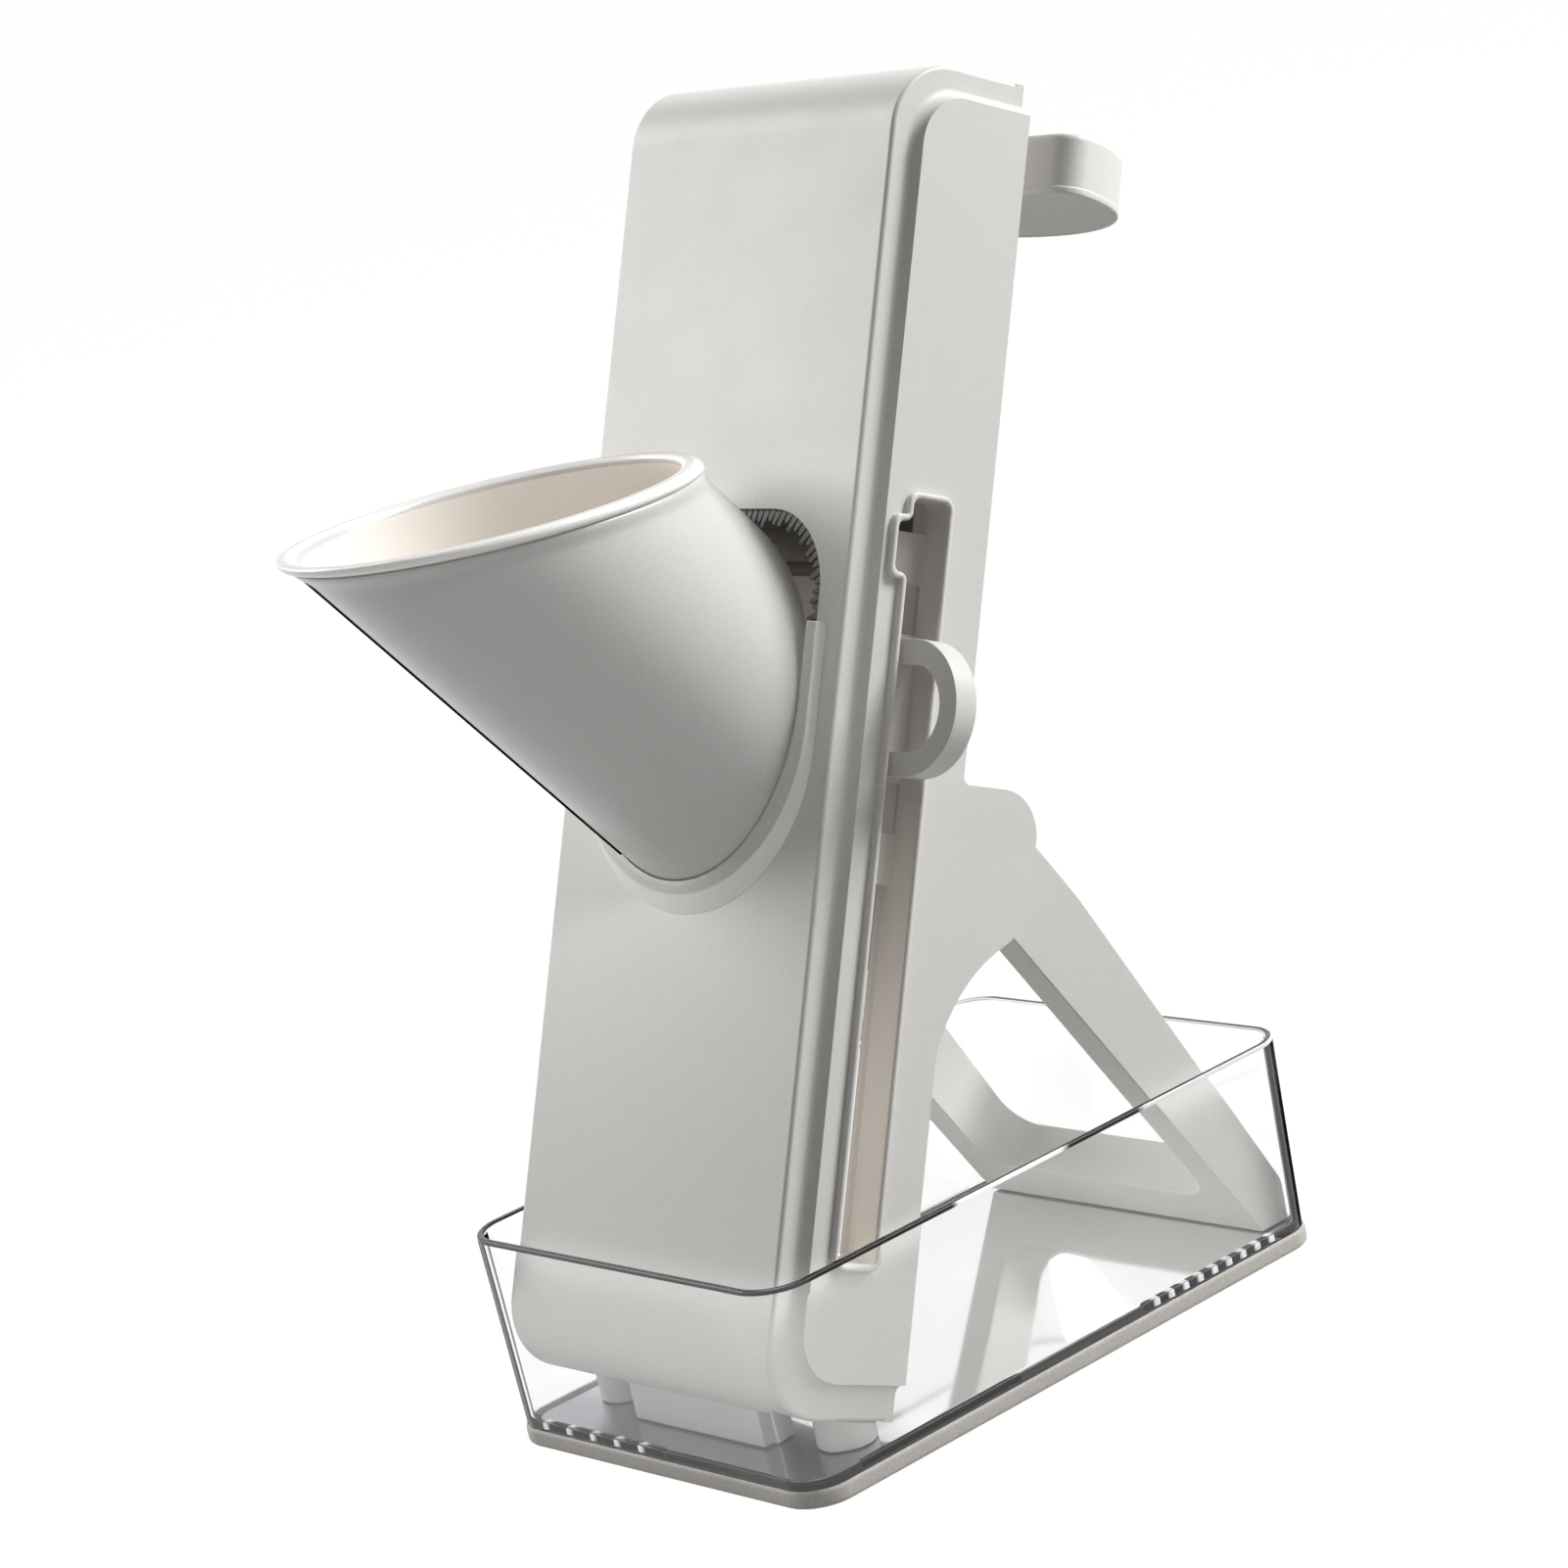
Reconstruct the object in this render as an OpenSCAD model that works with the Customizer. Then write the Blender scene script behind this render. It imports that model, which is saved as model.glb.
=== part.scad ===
/* [Body] */
// Width of the shell over its two side walls
body_w = 96; // [92:0.5:100]
// Length of the body along its slope
body_len = 314.4; // [305:0.2:330]
// Depth of the body from its front face to its back face
body_depth = 39.5; // [39:0.1:42]
// Wall of the shell and of the back cover
wall = 2.4; // [2:0.1:2.8]
// Radius of the shell's two front edges
corner_r = 16.7; // [13:0.1:18]
// Lean of the body to the rear, in degrees
lean = 23.45; // [21:0.05:25]
// Height of the body's rear bottom edge over the bin's floor
heel_gap = 2.9; // [2.5:0.1:4]

/* [Side panels] */
// Thickness of a raised side panel
panel_t = 3.2; // [2.8:0.1:3.6]
// Depth at which the panel's raised face starts
panel_front = 7; // [6:0.1:9]
// Width of the sloping step along the panel's front edge
step_w = 2.3; // [1.5:0.1:3]
// Height of the panel's lower edge along the body
panel_low = 9; // [6:0.1:14]
// Distance from the panel's upper edge to the body's top
panel_top_gap = 7.4; // [5:0.1:12]
// Radius of the panel's two front corners
panel_r = 12; // [8:0.1:15]
// Thickness of the lobe that covers the hinge
lobe_t = 1.6; // [1.4:0.1:2]
// Reach of the lobe behind the hinge axis
lobe_reach = 14.8; // [14:0.1:18]
// Rise of the lobe's upper edge over the hinge axis
lobe_rise = 16.5; // [14:0.1:20]
// Drop of the lobe's lower end below the hinge axis
lobe_drop = 47.6; // [40:0.1:60]

/* [Side slot] */
// Lower end of the slot along the body
slot_low = 36.5; // [34:0.1:40]
// Upper end of the slot along the body
slot_top = 213.5; // [210:0.1:218]
// Depth at which the slot starts
slot_front = 14; // [13.5:0.1:15]
// Width of the slot
slot_w = 11.3; // [11:0.1:12]
// Radius of the slot's corners
slot_r = 2; // [1:0.1:3]
// Lower end of the loading notch along the body
notch_low = 196; // [188:0.1:198]
// Length of the loading notch along the body
notch_h = 12; // [8:0.1:14]
// Depth of the loading notch in front of the slot
notch_d = 4; // [3:0.1:4.4]
// Width of the bead round the slot
rim_w = 1.4; // [1.2:0.1:1.8]
// Rise of the bead over the panel
rim_rise = 1.8; // [1:0.1:2.4]

/* [Feed funnel] */
// Distance from the body's side face to the funnel
funnel_side = 8.7; // [8:0.1:11]
// Wall of the funnel
funnel_wall = 2.2; // [1.8:0.1:3]
// Tilt of the funnel's axis above the body's normal, in degrees
funnel_tilt = 28.3; // [25:0.1:31]
// Place along the body where the funnel's axis meets the front face
funnel_u = 163.2; // [158:0.1:170]
// Length of the funnel's axis from the front face to the mouth
funnel_reach = 76.4; // [68:0.1:84]
// Fall of the mouth to the rear, in degrees
mouth_tilt = 1.2; // [0:0.1:4]
// Height of the rolled lip
lip_h = 3.5; // [2:0.1:6]
// Rise of the rolled lip over the funnel's outside
lip_proud = 1.2; // [0.6:0.1:2]
// Distance by which the feed opening is narrower than the funnel on each side
opening_lap = 0.5; // [0.3:0.1:3]
// Upper end of the feed opening along the body
opening_top = 209; // [204:0.1:214]
// Radius of the feed opening's upper corners
opening_r = 19; // [12:0.1:24]

/* [Funnel bracket] */
// Wall of the bracket where it meets the front face
collar_t = 3; // [2.4:0.1:3.4]
// Rise of the bracket's ridge over the front face
ridge_rise = 3.1; // [2.2:0.1:3.3]
// Rise of the bracket's inner edge over the front face
edge_rise = 3.9; // [3.5:0.1:6]
// Wall of the bracket at its inner edge
edge_t = 1; // [0.8:0.1:1.6]
// Drop of the bracket's foot below the funnel
collar_drop = 6.1; // [5:0.1:8]
// Drop of the bracket's ridge below the funnel
ridge_drop = 3.1; // [2.5:0.1:4]
// Drop of the bracket's inner edge below the funnel
edge_drop = 1.4; // [1.2:0.1:2]
// Upper end of the bracket's arms along the body
arm_top = 182.7; // [176:0.1:190]

/* [Blade carriage] */
// Length of the carriage along the body
carriage_len = 82; // [78:0.5:88]
// Depth of the channel between the two ridges of a rail
channel_w = 14; // [13.5:0.1:14.5]
// Width of a rail's ridge
ridge_w = 3; // [2.4:0.1:3.2]
// Height of a rail's ridge over the side wall
rail_t = 4; // [3.4:0.1:5]
// Thickness of a sliding shoe
shoe_t = 1.9; // [1.5:0.1:2.2]
// Length of a sliding shoe
shoe_len = 12; // [8:0.5:16]
// Width of the carriage's members round its window
member_w = 8; // [7.5:0.1:9]
// Ledge inside the window that the landing plate sits on
ledge_w = 2; // [1.5:0.1:3]
// Thickness of the slicing blade
blade_t = 0.9; // [0.6:0.1:1.2]
// Height of the slicing blade
blade_h = 14; // [10:0.5:18]
// Slant of the slicing blade, in degrees
blade_slant = 24; // [15:1:26]
// Thickness of a slice
slice_t = 3.5; // [2:0.1:4]
// Thickness of the landing plate
landing_t = 1.6; // [1.2:0.1:2]
// Number of knives in the comb
comb_count = 9; // [5:1:13]
// Thickness of a comb knife
knife_t = 0.8; // [0.6:0.1:1]
// Depth of a comb knife
knife_h = 3; // [2:0.1:3.2]

/* [Pull ring] */
// Place of the ring's middle along the body
ring_u = 165.2; // [162:0.1:170]
// Outer radius of the ring
ring_r = 16; // [14:0.1:17]
// Thickness of the ring's bar
ring_bar = 5.7; // [4.5:0.1:7]
// Width of the ring from front to back
ring_w = 6.5; // [5:0.1:8]
// Distance from the body's side face to the ring's centre
ring_out = 7; // [5:0.1:10]

/* [Hand cap] */
// Radius of the cap's round rear
cap_r = 54.5; // [50:0.5:58]
// Distance from the back to the cap's rear
cap_reach = 60; // [54:0.5:66]
// Distance from the back to the cap's flat front
cap_gap = 11.5; // [9:0.5:14]
// Radius of the cap's two corners
cap_corner_r = 6; // [4:0.5:8]
// Height of the cap
cap_h = 14.5; // [11:0.5:18]
// Distance from the cap's top to the body's top
cap_top_gap = 8.9; // [4:0.1:12]
// Half width of the neck between the body and the cap
cap_neck_half = 27; // [20:0.5:32]
// Height of that neck
cap_neck_h = 9; // [6:0.5:11]

/* [Stand] */
// Place of the hinge axis along the body
pivot_u = 133; // [128:0.5:140]
// Distance of the hinge axis behind the back face
pivot_back = 10.5; // [10.3:0.1:11.5]
// Lean of the legs in degrees
leg_lean = 31.6; // [28:0.1:35]
// Thickness of a leg from side to side
leg_t = 9.3; // [7:0.1:10]
// Distance from the hinge axis to a leg's front edge
leg_front = 7.9; // [6.5:0.1:8.5]
// Distance from the hinge axis to a leg's rear edge
leg_back = 13.1; // [11:0.1:14]
// Distance from the hinge axis to the rear edge near the foot
heel_back = 6; // [4.5:0.1:8]
// Length of the foot on the floor
foot_len = 10.4; // [9.5:0.1:13]
// Height of the cross bar's front edge over the foot
bar_h = 10.5; // [8:0.1:16]
// Radius of the inner corners between legs and cross bar
bar_fillet_r = 9; // [5:0.5:14]
// Radius of a leg's hub
hub_r = 9.8; // [9:0.1:10]
// Radius of a hinge pin
pin_r = 3; // [2.5:0.1:4]

/* [Bin] */
// Height of the bin's walls over its floor
bin_h = 49.7; // [44:0.1:60]
// Wall of the bin
bin_wall = 1.8; // [1.5:0.1:2.2]
// Thickness of the bin's floor
bin_floor = 2.5; // [2:0.1:4]
// Draft of the bin's walls in degrees
bin_draft = 1.8; // [1:0.1:3]
// Radius of the bin's corners at its foot
bin_r = 10; // [8:0.5:11]
// Height of the base ring
ring_h = 4.4; // [4:0.1:6]
// Thickness of the base ring under the bin
ring_flange = 2.4; // [2:0.1:3]
// Width of the base ring under the bin
ring_strip = 6; // [5:0.1:9]
// Rise of the base ring over the bin's wall
ring_proud = 0.6; // [0.4:0.1:1.2]

/* [Hidden] */

// True circles, and the coarser circles of hulled shapes
$fn = 72;
hull_fn = 32;
// One overrun for all cuts, and the thickness of a slab that a hull starts from
over = 0.5;
skin = 0.01;

// Clearances: running fit of a pin, gap between moving pieces, gap over a floor
pin_fit = 0.05;
run_gap = 0.3;
rest_gap = 0.2;
// Gap between the round nose of the body and the bin, and between the stand and the bin
nose_gap = 1;
heel_room = 0.8;
// Gap left at each end of the carriage's travel
stop_gap = 1;
// Room between a side panel and the bin's foot
bin_room = 5.7;

// Colours
shell_colour = "#d7d5d0";
dark_colour = "#6d6a66";
steel_colour = "#c9ccce";
ring_colour = "#a8a298";
clear_colour = [0.9, 0.93, 0.95, 0.35];
rubber_colour = "#3a3a3a";

// Sines of the body's lean
sl = sin(lean);
cl = cos(lean);

// Widths across the object, from the middle plane outward
half_w = body_w / 2;
side_out = half_w + panel_t;
side_in = half_w - wall;
lobe_in = side_out - lobe_t;
leg_out = lobe_in - run_gap;
leg_in = leg_out - leg_t;
washer_t = 1;
washer_out = leg_in - run_gap;
lug_out = washer_out - washer_t;
lug_t = 3.6;
lug_in = lug_out - lug_t;

// Heights of the bin's floor and of the body's front bottom corner
floor_top = ring_flange + bin_floor;
body_z = floor_top + heel_gap + body_depth * sl;

// Bin: its front foot line lies so that the base ring's front strip is centred on the origin
bin_front = ring_proud - ring_strip / 2;
bin_half = side_out + bin_room;
rim_z = floor_top + bin_h;
rim_out = (rim_z - ring_h) * tan(bin_draft);
nose_z = body_z + corner_r * (cl - sl);
nose_y = bin_front + bin_wall - (nose_z - ring_h) * tan(bin_draft) + nose_gap;
body_y = nose_y - corner_r * (sl + cl - 1);

// Stand: hinge axis in the body's frame and in the object's frame
pivot_v = body_depth + pivot_back;
pivot_y = body_y + pivot_u * sl + pivot_v * cl;
pivot_z = body_z + pivot_u * cl - pivot_v * sl;
pad_proud = 0.3;
pad_t = 1.5;
foot_z = floor_top + rest_gap + pad_proud;
// Point at a distance s behind and w along the leg from the hinge axis, as [y, z]
function leg_point(s, w) = [
    pivot_y + s * cos(leg_lean) + w * sin(leg_lean),
    pivot_z + s * sin(leg_lean) - w * cos(leg_lean)
];
// Distance along the leg at which the line s behind the axis reaches the height z
function leg_reach(s, z) = (pivot_z + s * sin(leg_lean) - z) / cos(leg_lean);
leg_len = leg_reach(-leg_front, foot_z);
rear_high_share = 0.22;
rear_low_share = 0.95;
rear_high = leg_point(leg_back, leg_len * rear_high_share);
rear_low = leg_point(heel_back, leg_len * rear_low_share);
foot_front_y = leg_point(-leg_front, leg_len)[0];
foot_rear_y = foot_front_y + foot_len;
heel_share = (foot_rear_y - rear_high[0]) / (rear_low[0] - rear_high[0]);
heel_z = rear_high[1] + heel_share * (rear_low[1] - rear_high[1]);
bar_w = leg_reach(-leg_front, foot_z + bar_h);
shoulder_r = 9;
bin_rear = foot_rear_y + heel_room + bin_wall;

// Funnel and feed opening
funnel_r = half_w - funnel_side;
opening_half = funnel_r - opening_lap;

// Slot, rails and carriage, all centred on the middle of the slot's width
slot_mid = slot_front + slot_w / 2;
rail_front = slot_mid - channel_w / 2 - ridge_w;
rail_back = slot_mid + channel_w / 2 + ridge_w;
carriage_half = side_in - run_gap - shoe_t;
shoe_half = channel_w / 2 - run_gap;
shoe_grip = 0.4;
carriage_front = slot_mid - shoe_half + shoe_grip;
carriage_back = slot_mid + shoe_half - shoe_grip;
block_margin = 1.2;
block_half = ring_r + block_margin;
travel_down = ring_u - block_half - slot_low - stop_gap;
travel_up = slot_top - ring_u - block_half - stop_gap;
carriage_low = ring_u - carriage_len / 2;
carriage_high = ring_u + carriage_len / 2;
window_low = carriage_low - travel_down - stop_gap;
window_high = carriage_high + travel_up + stop_gap;
window_half = carriage_half - member_w - shoe_t;
blade_front = carriage_front - blade_t;
blade_end = window_half + member_w / 2 + over;
landing_back = carriage_front + slice_t + landing_t;

// Throat ring between the front wall and the comb
throat_t = 2.4;
throat_gap = 0.7;
comb_bar_t = 1;
knife_front = carriage_front - comb_bar_t - knife_h;
throat_end = knife_front - throat_gap;

// Handle block and ring, from the carriage outward
block_t = 3;
block_out = carriage_half + block_t;
block_side_gap = 1;
ring_x = half_w + ring_out;

// Screws
screw_r = 1.2;
screw_head_r = 2.8;
screw_head_h = 1.6;
screw_share = 0.8;
boss_wall = 2.4;
boss_r = screw_r + boss_wall;
boss_h = body_depth - wall - rail_back - run_gap;
screw_len = wall + boss_h * screw_share;
boss_x = side_in - boss_r + over;
boss_end = 20;
handle_screw_r = 1.5;
handle_screw_spread = ring_r - ring_bar / 2;
handle_screw_len = 13;
blade_screw_r = 1.4;
blade_head_h = 0.8;
blade_screw_len = 3;
blade_screw_x = window_half + member_w / 2 - over;

// Discharge opening and ramp
discharge_side = 11.6;
discharge_half = side_in - discharge_side;
discharge_low = 14;
discharge_top = 104;
discharge_r = 8;
ramp_t = 2;
ramp_front = 28;
ramp_top = 34;
ramp_half = boss_x - boss_r - run_gap;

// Feet under the body
foot_r = 7;
foot_inset = 1;
foot_x = half_w - foot_r - foot_inset;
foot_y = body_y + body_depth * cl - foot_r - run_gap;
foot_bar_side = 9;
foot_bar_half = foot_x - foot_r - foot_bar_side;
foot_bar_d = 8;
foot_bar_y = foot_y - foot_r - foot_bar_d / 2;

// Funnel bracket and funnel
collar_fit = 0.3;
funnel_seat = 0.3;
far = body_len;

// Body's frame: x across, y into the depth of the body, z along its slope
module at_body() {
    translate([0, body_y, body_z]) rotate([-lean, 0, 0]) children();
}

// Outline in [depth, length] drawn out across the body from x0 to x1
module side_extrude(x0, x1) {
    translate([x0, 0, 0]) rotate([90, 0, 90]) linear_extrude(x1 - x0) children();
}

// Outline in [x, length] drawn out into the body from depth d0 to d1
module front_extrude(d0, d1) {
    translate([0, d1, 0]) rotate([90, 0, 0]) linear_extrude(d1 - d0) children();
}

// Cylinder along x from x0 to x1 at [depth, length]
module x_cylinder(x0, x1, at, r) {
    translate([x0, at[0], at[1]]) rotate([0, 90, 0]) cylinder(h = x1 - x0, r = r);
}

// Cylinder into the depth from d0 to d1 at [x, length]
module d_cylinder(d0, d1, at, r) {
    translate([at[0], d1, at[1]]) rotate([90, 0, 0]) cylinder(h = d1 - d0, r = r);
}

// Mirrored to the left side when side is -1
module on_side(side) {
    mirror([side < 0 ? 1 : 0, 0, 0]) children();
}

// Rectangle from lo to hi with its own radius at each corner, from lower left round to upper left
module corner_rect(lo, hi, radii) {
    corners = [lo, [hi[0], lo[1]], hi, [lo[0], hi[1]]];
    difference() {
        translate(lo) square(hi - lo);
        for (i = [0:3]) {
            if (radii[i] > 0) translate(corners[i]) rotate(i * 90) difference() {
                translate([-over, -over]) square(radii[i] + over);
                translate([radii[i], radii[i]]) circle(radii[i]);
            }
        }
    }
}

// Points of a round arc from p to q that bulges to the left of the way by a share of the chord
function arc_between(p, q, bulge_share, steps) =
    let (
        chord = norm(q - p),
        rise = chord * abs(bulge_share),
        turn = sign(bulge_share),
        r = (chord * chord / 4 + rise * rise) / (2 * rise),
        along = (q - p) / chord,
        left = [-along[1], along[0]] * turn,
        centre = (p + q) / 2 + left * (rise - r),
        start = atan2(p[1] - centre[1], p[0] - centre[0]),
        sweep = -2 * turn * asin(chord / 2 / r)
    )
    [for (i = [0:steps]) centre + r * [cos(start + sweep * i / steps), sin(start + sweep * i / steps)]];

// Outline of the slot with its notch, grown on all sides
module slot_shape(grow) {
    r = slot_r + grow;
    corner_rect(
        [slot_front - grow, slot_low - grow],
        [slot_front + slot_w + grow, slot_top + grow],
        [r, r, r, r]
    );
    corner_rect(
        [slot_front - notch_d - grow, notch_low - grow],
        [slot_mid, notch_low + notch_h + grow],
        [r, 0, 0, r]
    );
}

// Outline of the feed opening, grown on all sides
module opening_shape(grow) {
    half = opening_half + grow;
    arch_u = opening_top - opening_half - opening_r / 2;
    translate([0, arch_u]) circle(half);
    corner_rect(
        [-half, arch_u],
        [half, opening_top + grow],
        [0, 0, opening_r + grow, opening_r + grow]
    );
}

// U-shaped outline, round at the bottom and flat at the arms' top
module u_shape(half, bottom) {
    translate([0, bottom + half]) circle(half, $fn = 2 * hull_fn);
    translate([-half, bottom + half]) square([2 * half, arm_top - bottom - half]);
}

// Funnel's frame: z along its axis, outward from the front face, y to its upper side
module at_funnel() {
    translate([0, 0, funnel_u]) rotate([90 - funnel_tilt, 0, 0]) children();
}

// Frame of the mouth's plane, centred on the funnel's axis
module at_mouth() {
    at_funnel() translate([0, 0, funnel_reach])
        rotate([lean - mouth_tilt - 90 + funnel_tilt, 0, 0]) children();
}

// Plan of the bin, grown on all sides
module bin_plan(grow) {
    r = bin_r + grow;
    corner_rect([-bin_half - grow, bin_front - grow], [bin_half + grow, bin_rear + grow], [r, r, r, r]);
}

// Thin slab of the bin's plan at the height z
module bin_slab(z, grow) {
    translate([0, 0, z]) linear_extrude(skin) bin_plan(grow, $fn = hull_fn);
}

module storage_bin() color(clear_colour) {
    base_inset = ring_proud;
    difference() {
        union() {
            translate([0, 0, ring_flange]) linear_extrude(ring_h - ring_flange + skin)
                bin_plan(-base_inset);
            hull() {
                bin_slab(ring_h, 0);
                bin_slab(rim_z - skin, rim_out);
            }
        }
        hull() {
            bin_slab(floor_top, -bin_wall);
            bin_slab(rim_z + skin, rim_out - bin_wall);
        }
    }
}

module bin_base_ring() color(ring_colour) difference() {
    linear_extrude(ring_h) bin_plan(ring_proud);
    translate([0, 0, ring_flange]) linear_extrude(ring_h) bin_plan(-ring_proud);
    translate([0, 0, -over]) linear_extrude(ring_h) bin_plan(ring_proud - ring_strip);
}

module front_cover() color(shell_colour) at_body() {
    back_in = body_depth - wall;
    inner_r = corner_r - wall;
    difference() {
        side_extrude(-half_w, half_w)
            corner_rect([0, 0], [back_in, body_len], [corner_r, 0, 0, corner_r]);
        side_extrude(-side_in, side_in)
            corner_rect([wall, wall], [back_in + over, body_len - wall], [inner_r, 0, 0, inner_r]);
        front_extrude(-over, wall + over) opening_shape(0);
        side_extrude(side_in - over, half_w + over) slot_shape(0);
    }
    for (side = [-1, 1], u = [boss_end, body_len - boss_end]) difference() {
        d_cylinder(back_in - boss_h, back_in, [side * boss_x, u], boss_r);
        d_cylinder(back_in - boss_h - over, back_in + over, [side * boss_x, u], screw_r + pin_fit);
    }
}

module back_cover() color(shell_colour) at_body() {
    back_in = body_depth - wall;
    r = discharge_r;
    difference() {
        front_extrude(back_in, body_depth) difference() {
            translate([-half_w, 0]) square([body_w, body_len]);
            corner_rect([-discharge_half, discharge_low], [discharge_half, discharge_top], [r, r, r, r]);
        }
        for (side = [-1, 1], u = [boss_end, body_len - boss_end]) {
            d_cylinder(back_in - over, body_depth + over, [side * boss_x, u], screw_r + pin_fit);
            d_cylinder(body_depth - screw_head_h, body_depth + over, [side * boss_x, u],
                screw_head_r + pin_fit);
        }
    }
    for (side = [-1, 1]) on_side(side) hinge_lug();
}

// Lug on the back cover that carries a hinge pin
module hinge_lug() {
    lug_r = pin_r + 4.5;
    lug_root = body_depth - wall / 2;
    root_half = 2 * lug_r;
    difference() {
        side_extrude(lug_in, lug_out) {
            polygon([
                [lug_root, pivot_u - root_half], [pivot_v, pivot_u - lug_r],
                [pivot_v, pivot_u + lug_r], [lug_root, pivot_u + root_half]
            ]);
            translate([pivot_v, pivot_u]) circle(lug_r);
        }
        x_cylinder(lug_in - over, lug_out + over, [pivot_v, pivot_u], pin_r + pin_fit);
    }
}

// Outline of the lobe behind the panel's rear edge
module lobe_shape() {
    heel_shares = [0.5, 0.43];
    rear_low_at = 0.19;
    rear_high_at = 0.36;
    top_share = 0.18;
    foot_bulge_share = 0.105;
    heel_bulge_share = 0.117;
    top_bulge_share = 0.205;
    fillet_r = 2 * lobe_t;
    rear = pivot_v + lobe_reach;
    top = pivot_u + lobe_rise;
    low_end = [body_depth, pivot_u - lobe_drop];
    heel = [pivot_v + lobe_reach * heel_shares[0], pivot_u - lobe_drop * heel_shares[1]];
    rear_foot = [rear, pivot_u - lobe_drop * rear_low_at];
    rear_head = [rear, pivot_u + lobe_rise * rear_high_at];
    top_end = [pivot_v + lobe_reach * top_share, top];
    polygon(concat(
        [[body_depth - lobe_t, low_end[1]]],
        arc_between(low_end, heel, foot_bulge_share, 6),
        arc_between(heel, rear_foot, -heel_bulge_share, 4),
        arc_between(rear_head, top_end, -top_bulge_share, 6),
        arc_between([body_depth + fillet_r, top], [body_depth, top + fillet_r / 2], top_bulge_share, 3),
        [[body_depth - lobe_t, top + fillet_r / 2]]
    ));
}

// Side panel with its step and its lobe, and the blind seat of the hinge pin
module side_panel() {
    top = body_len - panel_top_gap;
    foot_r = panel_r + step_w / 2;
    pin_seat = lobe_t / 2 + run_gap;
    difference() {
        union() {
            side_extrude(half_w, half_w + panel_t / 2)
                corner_rect([panel_front - step_w, panel_low - step_w],
                    [body_depth, top + step_w], [foot_r, 0, 0, foot_r]);
            side_extrude(half_w, side_out)
                corner_rect([panel_front, panel_low], [body_depth, top], [panel_r, 0, 0, panel_r]);
            side_extrude(lobe_in, side_out) lobe_shape();
        }
        x_cylinder(lobe_in - over, lobe_in + pin_seat, [pivot_v, pivot_u], pin_r + run_gap);
    }
}

module right_panel() color(shell_colour) at_body() difference() {
    side_panel();
    side_extrude(half_w - over, side_out + over) slot_shape(rim_w);
}

module left_panel() color(shell_colour) at_body() on_side(-1) side_panel();

module slot_rim() color(shell_colour) at_body() side_extrude(half_w, side_out + rim_rise) difference() {
    slot_shape(rim_w);
    slot_shape(0);
}

// Thin slab of the bracket's U at a rise over the front face
module collar_slab(rise, half, bottom) {
    front_extrude(-rise, skin - rise) u_shape(half, bottom);
}

module chute_bracket() color(shell_colour) at_body() {
    bore_r = funnel_r + collar_fit;
    funnel_foot = funnel_u - funnel_r / cos(funnel_tilt);
    climb = tan(funnel_tilt);
    foot_half = bore_r + collar_t;
    edge_half = bore_r + edge_t;
    ridge_half = foot_half - ridge_rise / edge_rise * edge_t / 2;
    foot_bottom = funnel_foot - collar_drop;
    ridge_bottom = funnel_foot + ridge_rise * climb - ridge_drop;
    edge_bottom = funnel_foot + edge_rise * climb - edge_drop;
    difference() {
        union() {
            hull() {
                collar_slab(skin, foot_half, foot_bottom);
                collar_slab(ridge_rise, ridge_half, ridge_bottom);
            }
            hull() {
                collar_slab(ridge_rise, ridge_half, ridge_bottom);
                collar_slab(edge_rise, edge_half, edge_bottom);
            }
        }
        at_funnel() translate([0, 0, -far]) cylinder(h = 2 * far, r = bore_r);
        at_funnel() translate([-bore_r, 0, -far]) cube([2 * bore_r, far, 2 * far]);
    }
}

module throat_ring() color(dark_colour) at_body() front_extrude(wall, throat_end) difference() {
    opening_shape(throat_t);
    opening_shape(0);
}

module feed_funnel() color(shell_colour) at_body() difference() {
    union() {
        at_funnel() translate([0, 0, -funnel_r]) cylinder(h = funnel_reach + 2 * funnel_r, r = funnel_r);
        intersection() {
            at_funnel() cylinder(h = funnel_reach + 2 * funnel_r, r = funnel_r + lip_proud);
            at_mouth() translate([-far, -far, -lip_h]) cube([2 * far, 2 * far, lip_h]);
        }
    }
    at_funnel() translate([0, 0, -far]) cylinder(h = 2 * far, r = funnel_r - funnel_wall);
    at_mouth() translate([-far, -far, 0]) cube([2 * far, 2 * far, far]);
    translate([-far, -funnel_seat, -far]) cube([2 * far, far, 3 * far]);
}

// Outline of the hand cap in plan, a half moon with round corners
module cap_plan() {
    offset(r = cap_corner_r) offset(delta = -cap_corner_r) intersection() {
        translate([0, body_depth + cap_reach - cap_r]) circle(cap_r);
        translate([-cap_r, body_depth + cap_gap]) square(2 * cap_r);
    }
}

module grab_handle() color(shell_colour) at_body() {
    base = body_len - cap_top_gap - cap_h;
    translate([0, 0, base]) linear_extrude(cap_h) cap_plan();
    translate([-cap_neck_half, body_depth, base + (cap_h - cap_neck_h) / 2])
        cube([2 * cap_neck_half, cap_gap + over, cap_neck_h]);
}

// Rail of two ridges joined at their ends, on the right side wall
module guide_rail() side_extrude(side_in - rail_t, side_in) difference() {
    translate([rail_front, window_low - ridge_w])
        square([rail_back - rail_front, window_high - window_low + 2 * ridge_w]);
    translate([rail_front + ridge_w, window_low]) square([channel_w, window_high - window_low]);
}

module guide_rail_right() color(dark_colour) at_body() guide_rail();

module guide_rail_left() color(dark_colour) at_body() on_side(-1) guide_rail();

module discharge_chute() color(shell_colour) at_body() {
    back_in = body_depth - wall;
    side_extrude(-ramp_half, ramp_half) polygon([
        [ramp_front, ramp_top], [back_in, discharge_low], [back_in, wall],
        [back_in - ramp_t, wall], [back_in - ramp_t, discharge_low - ramp_t],
        [ramp_front, ramp_top - 2 * ramp_t]
    ]);
}

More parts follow.
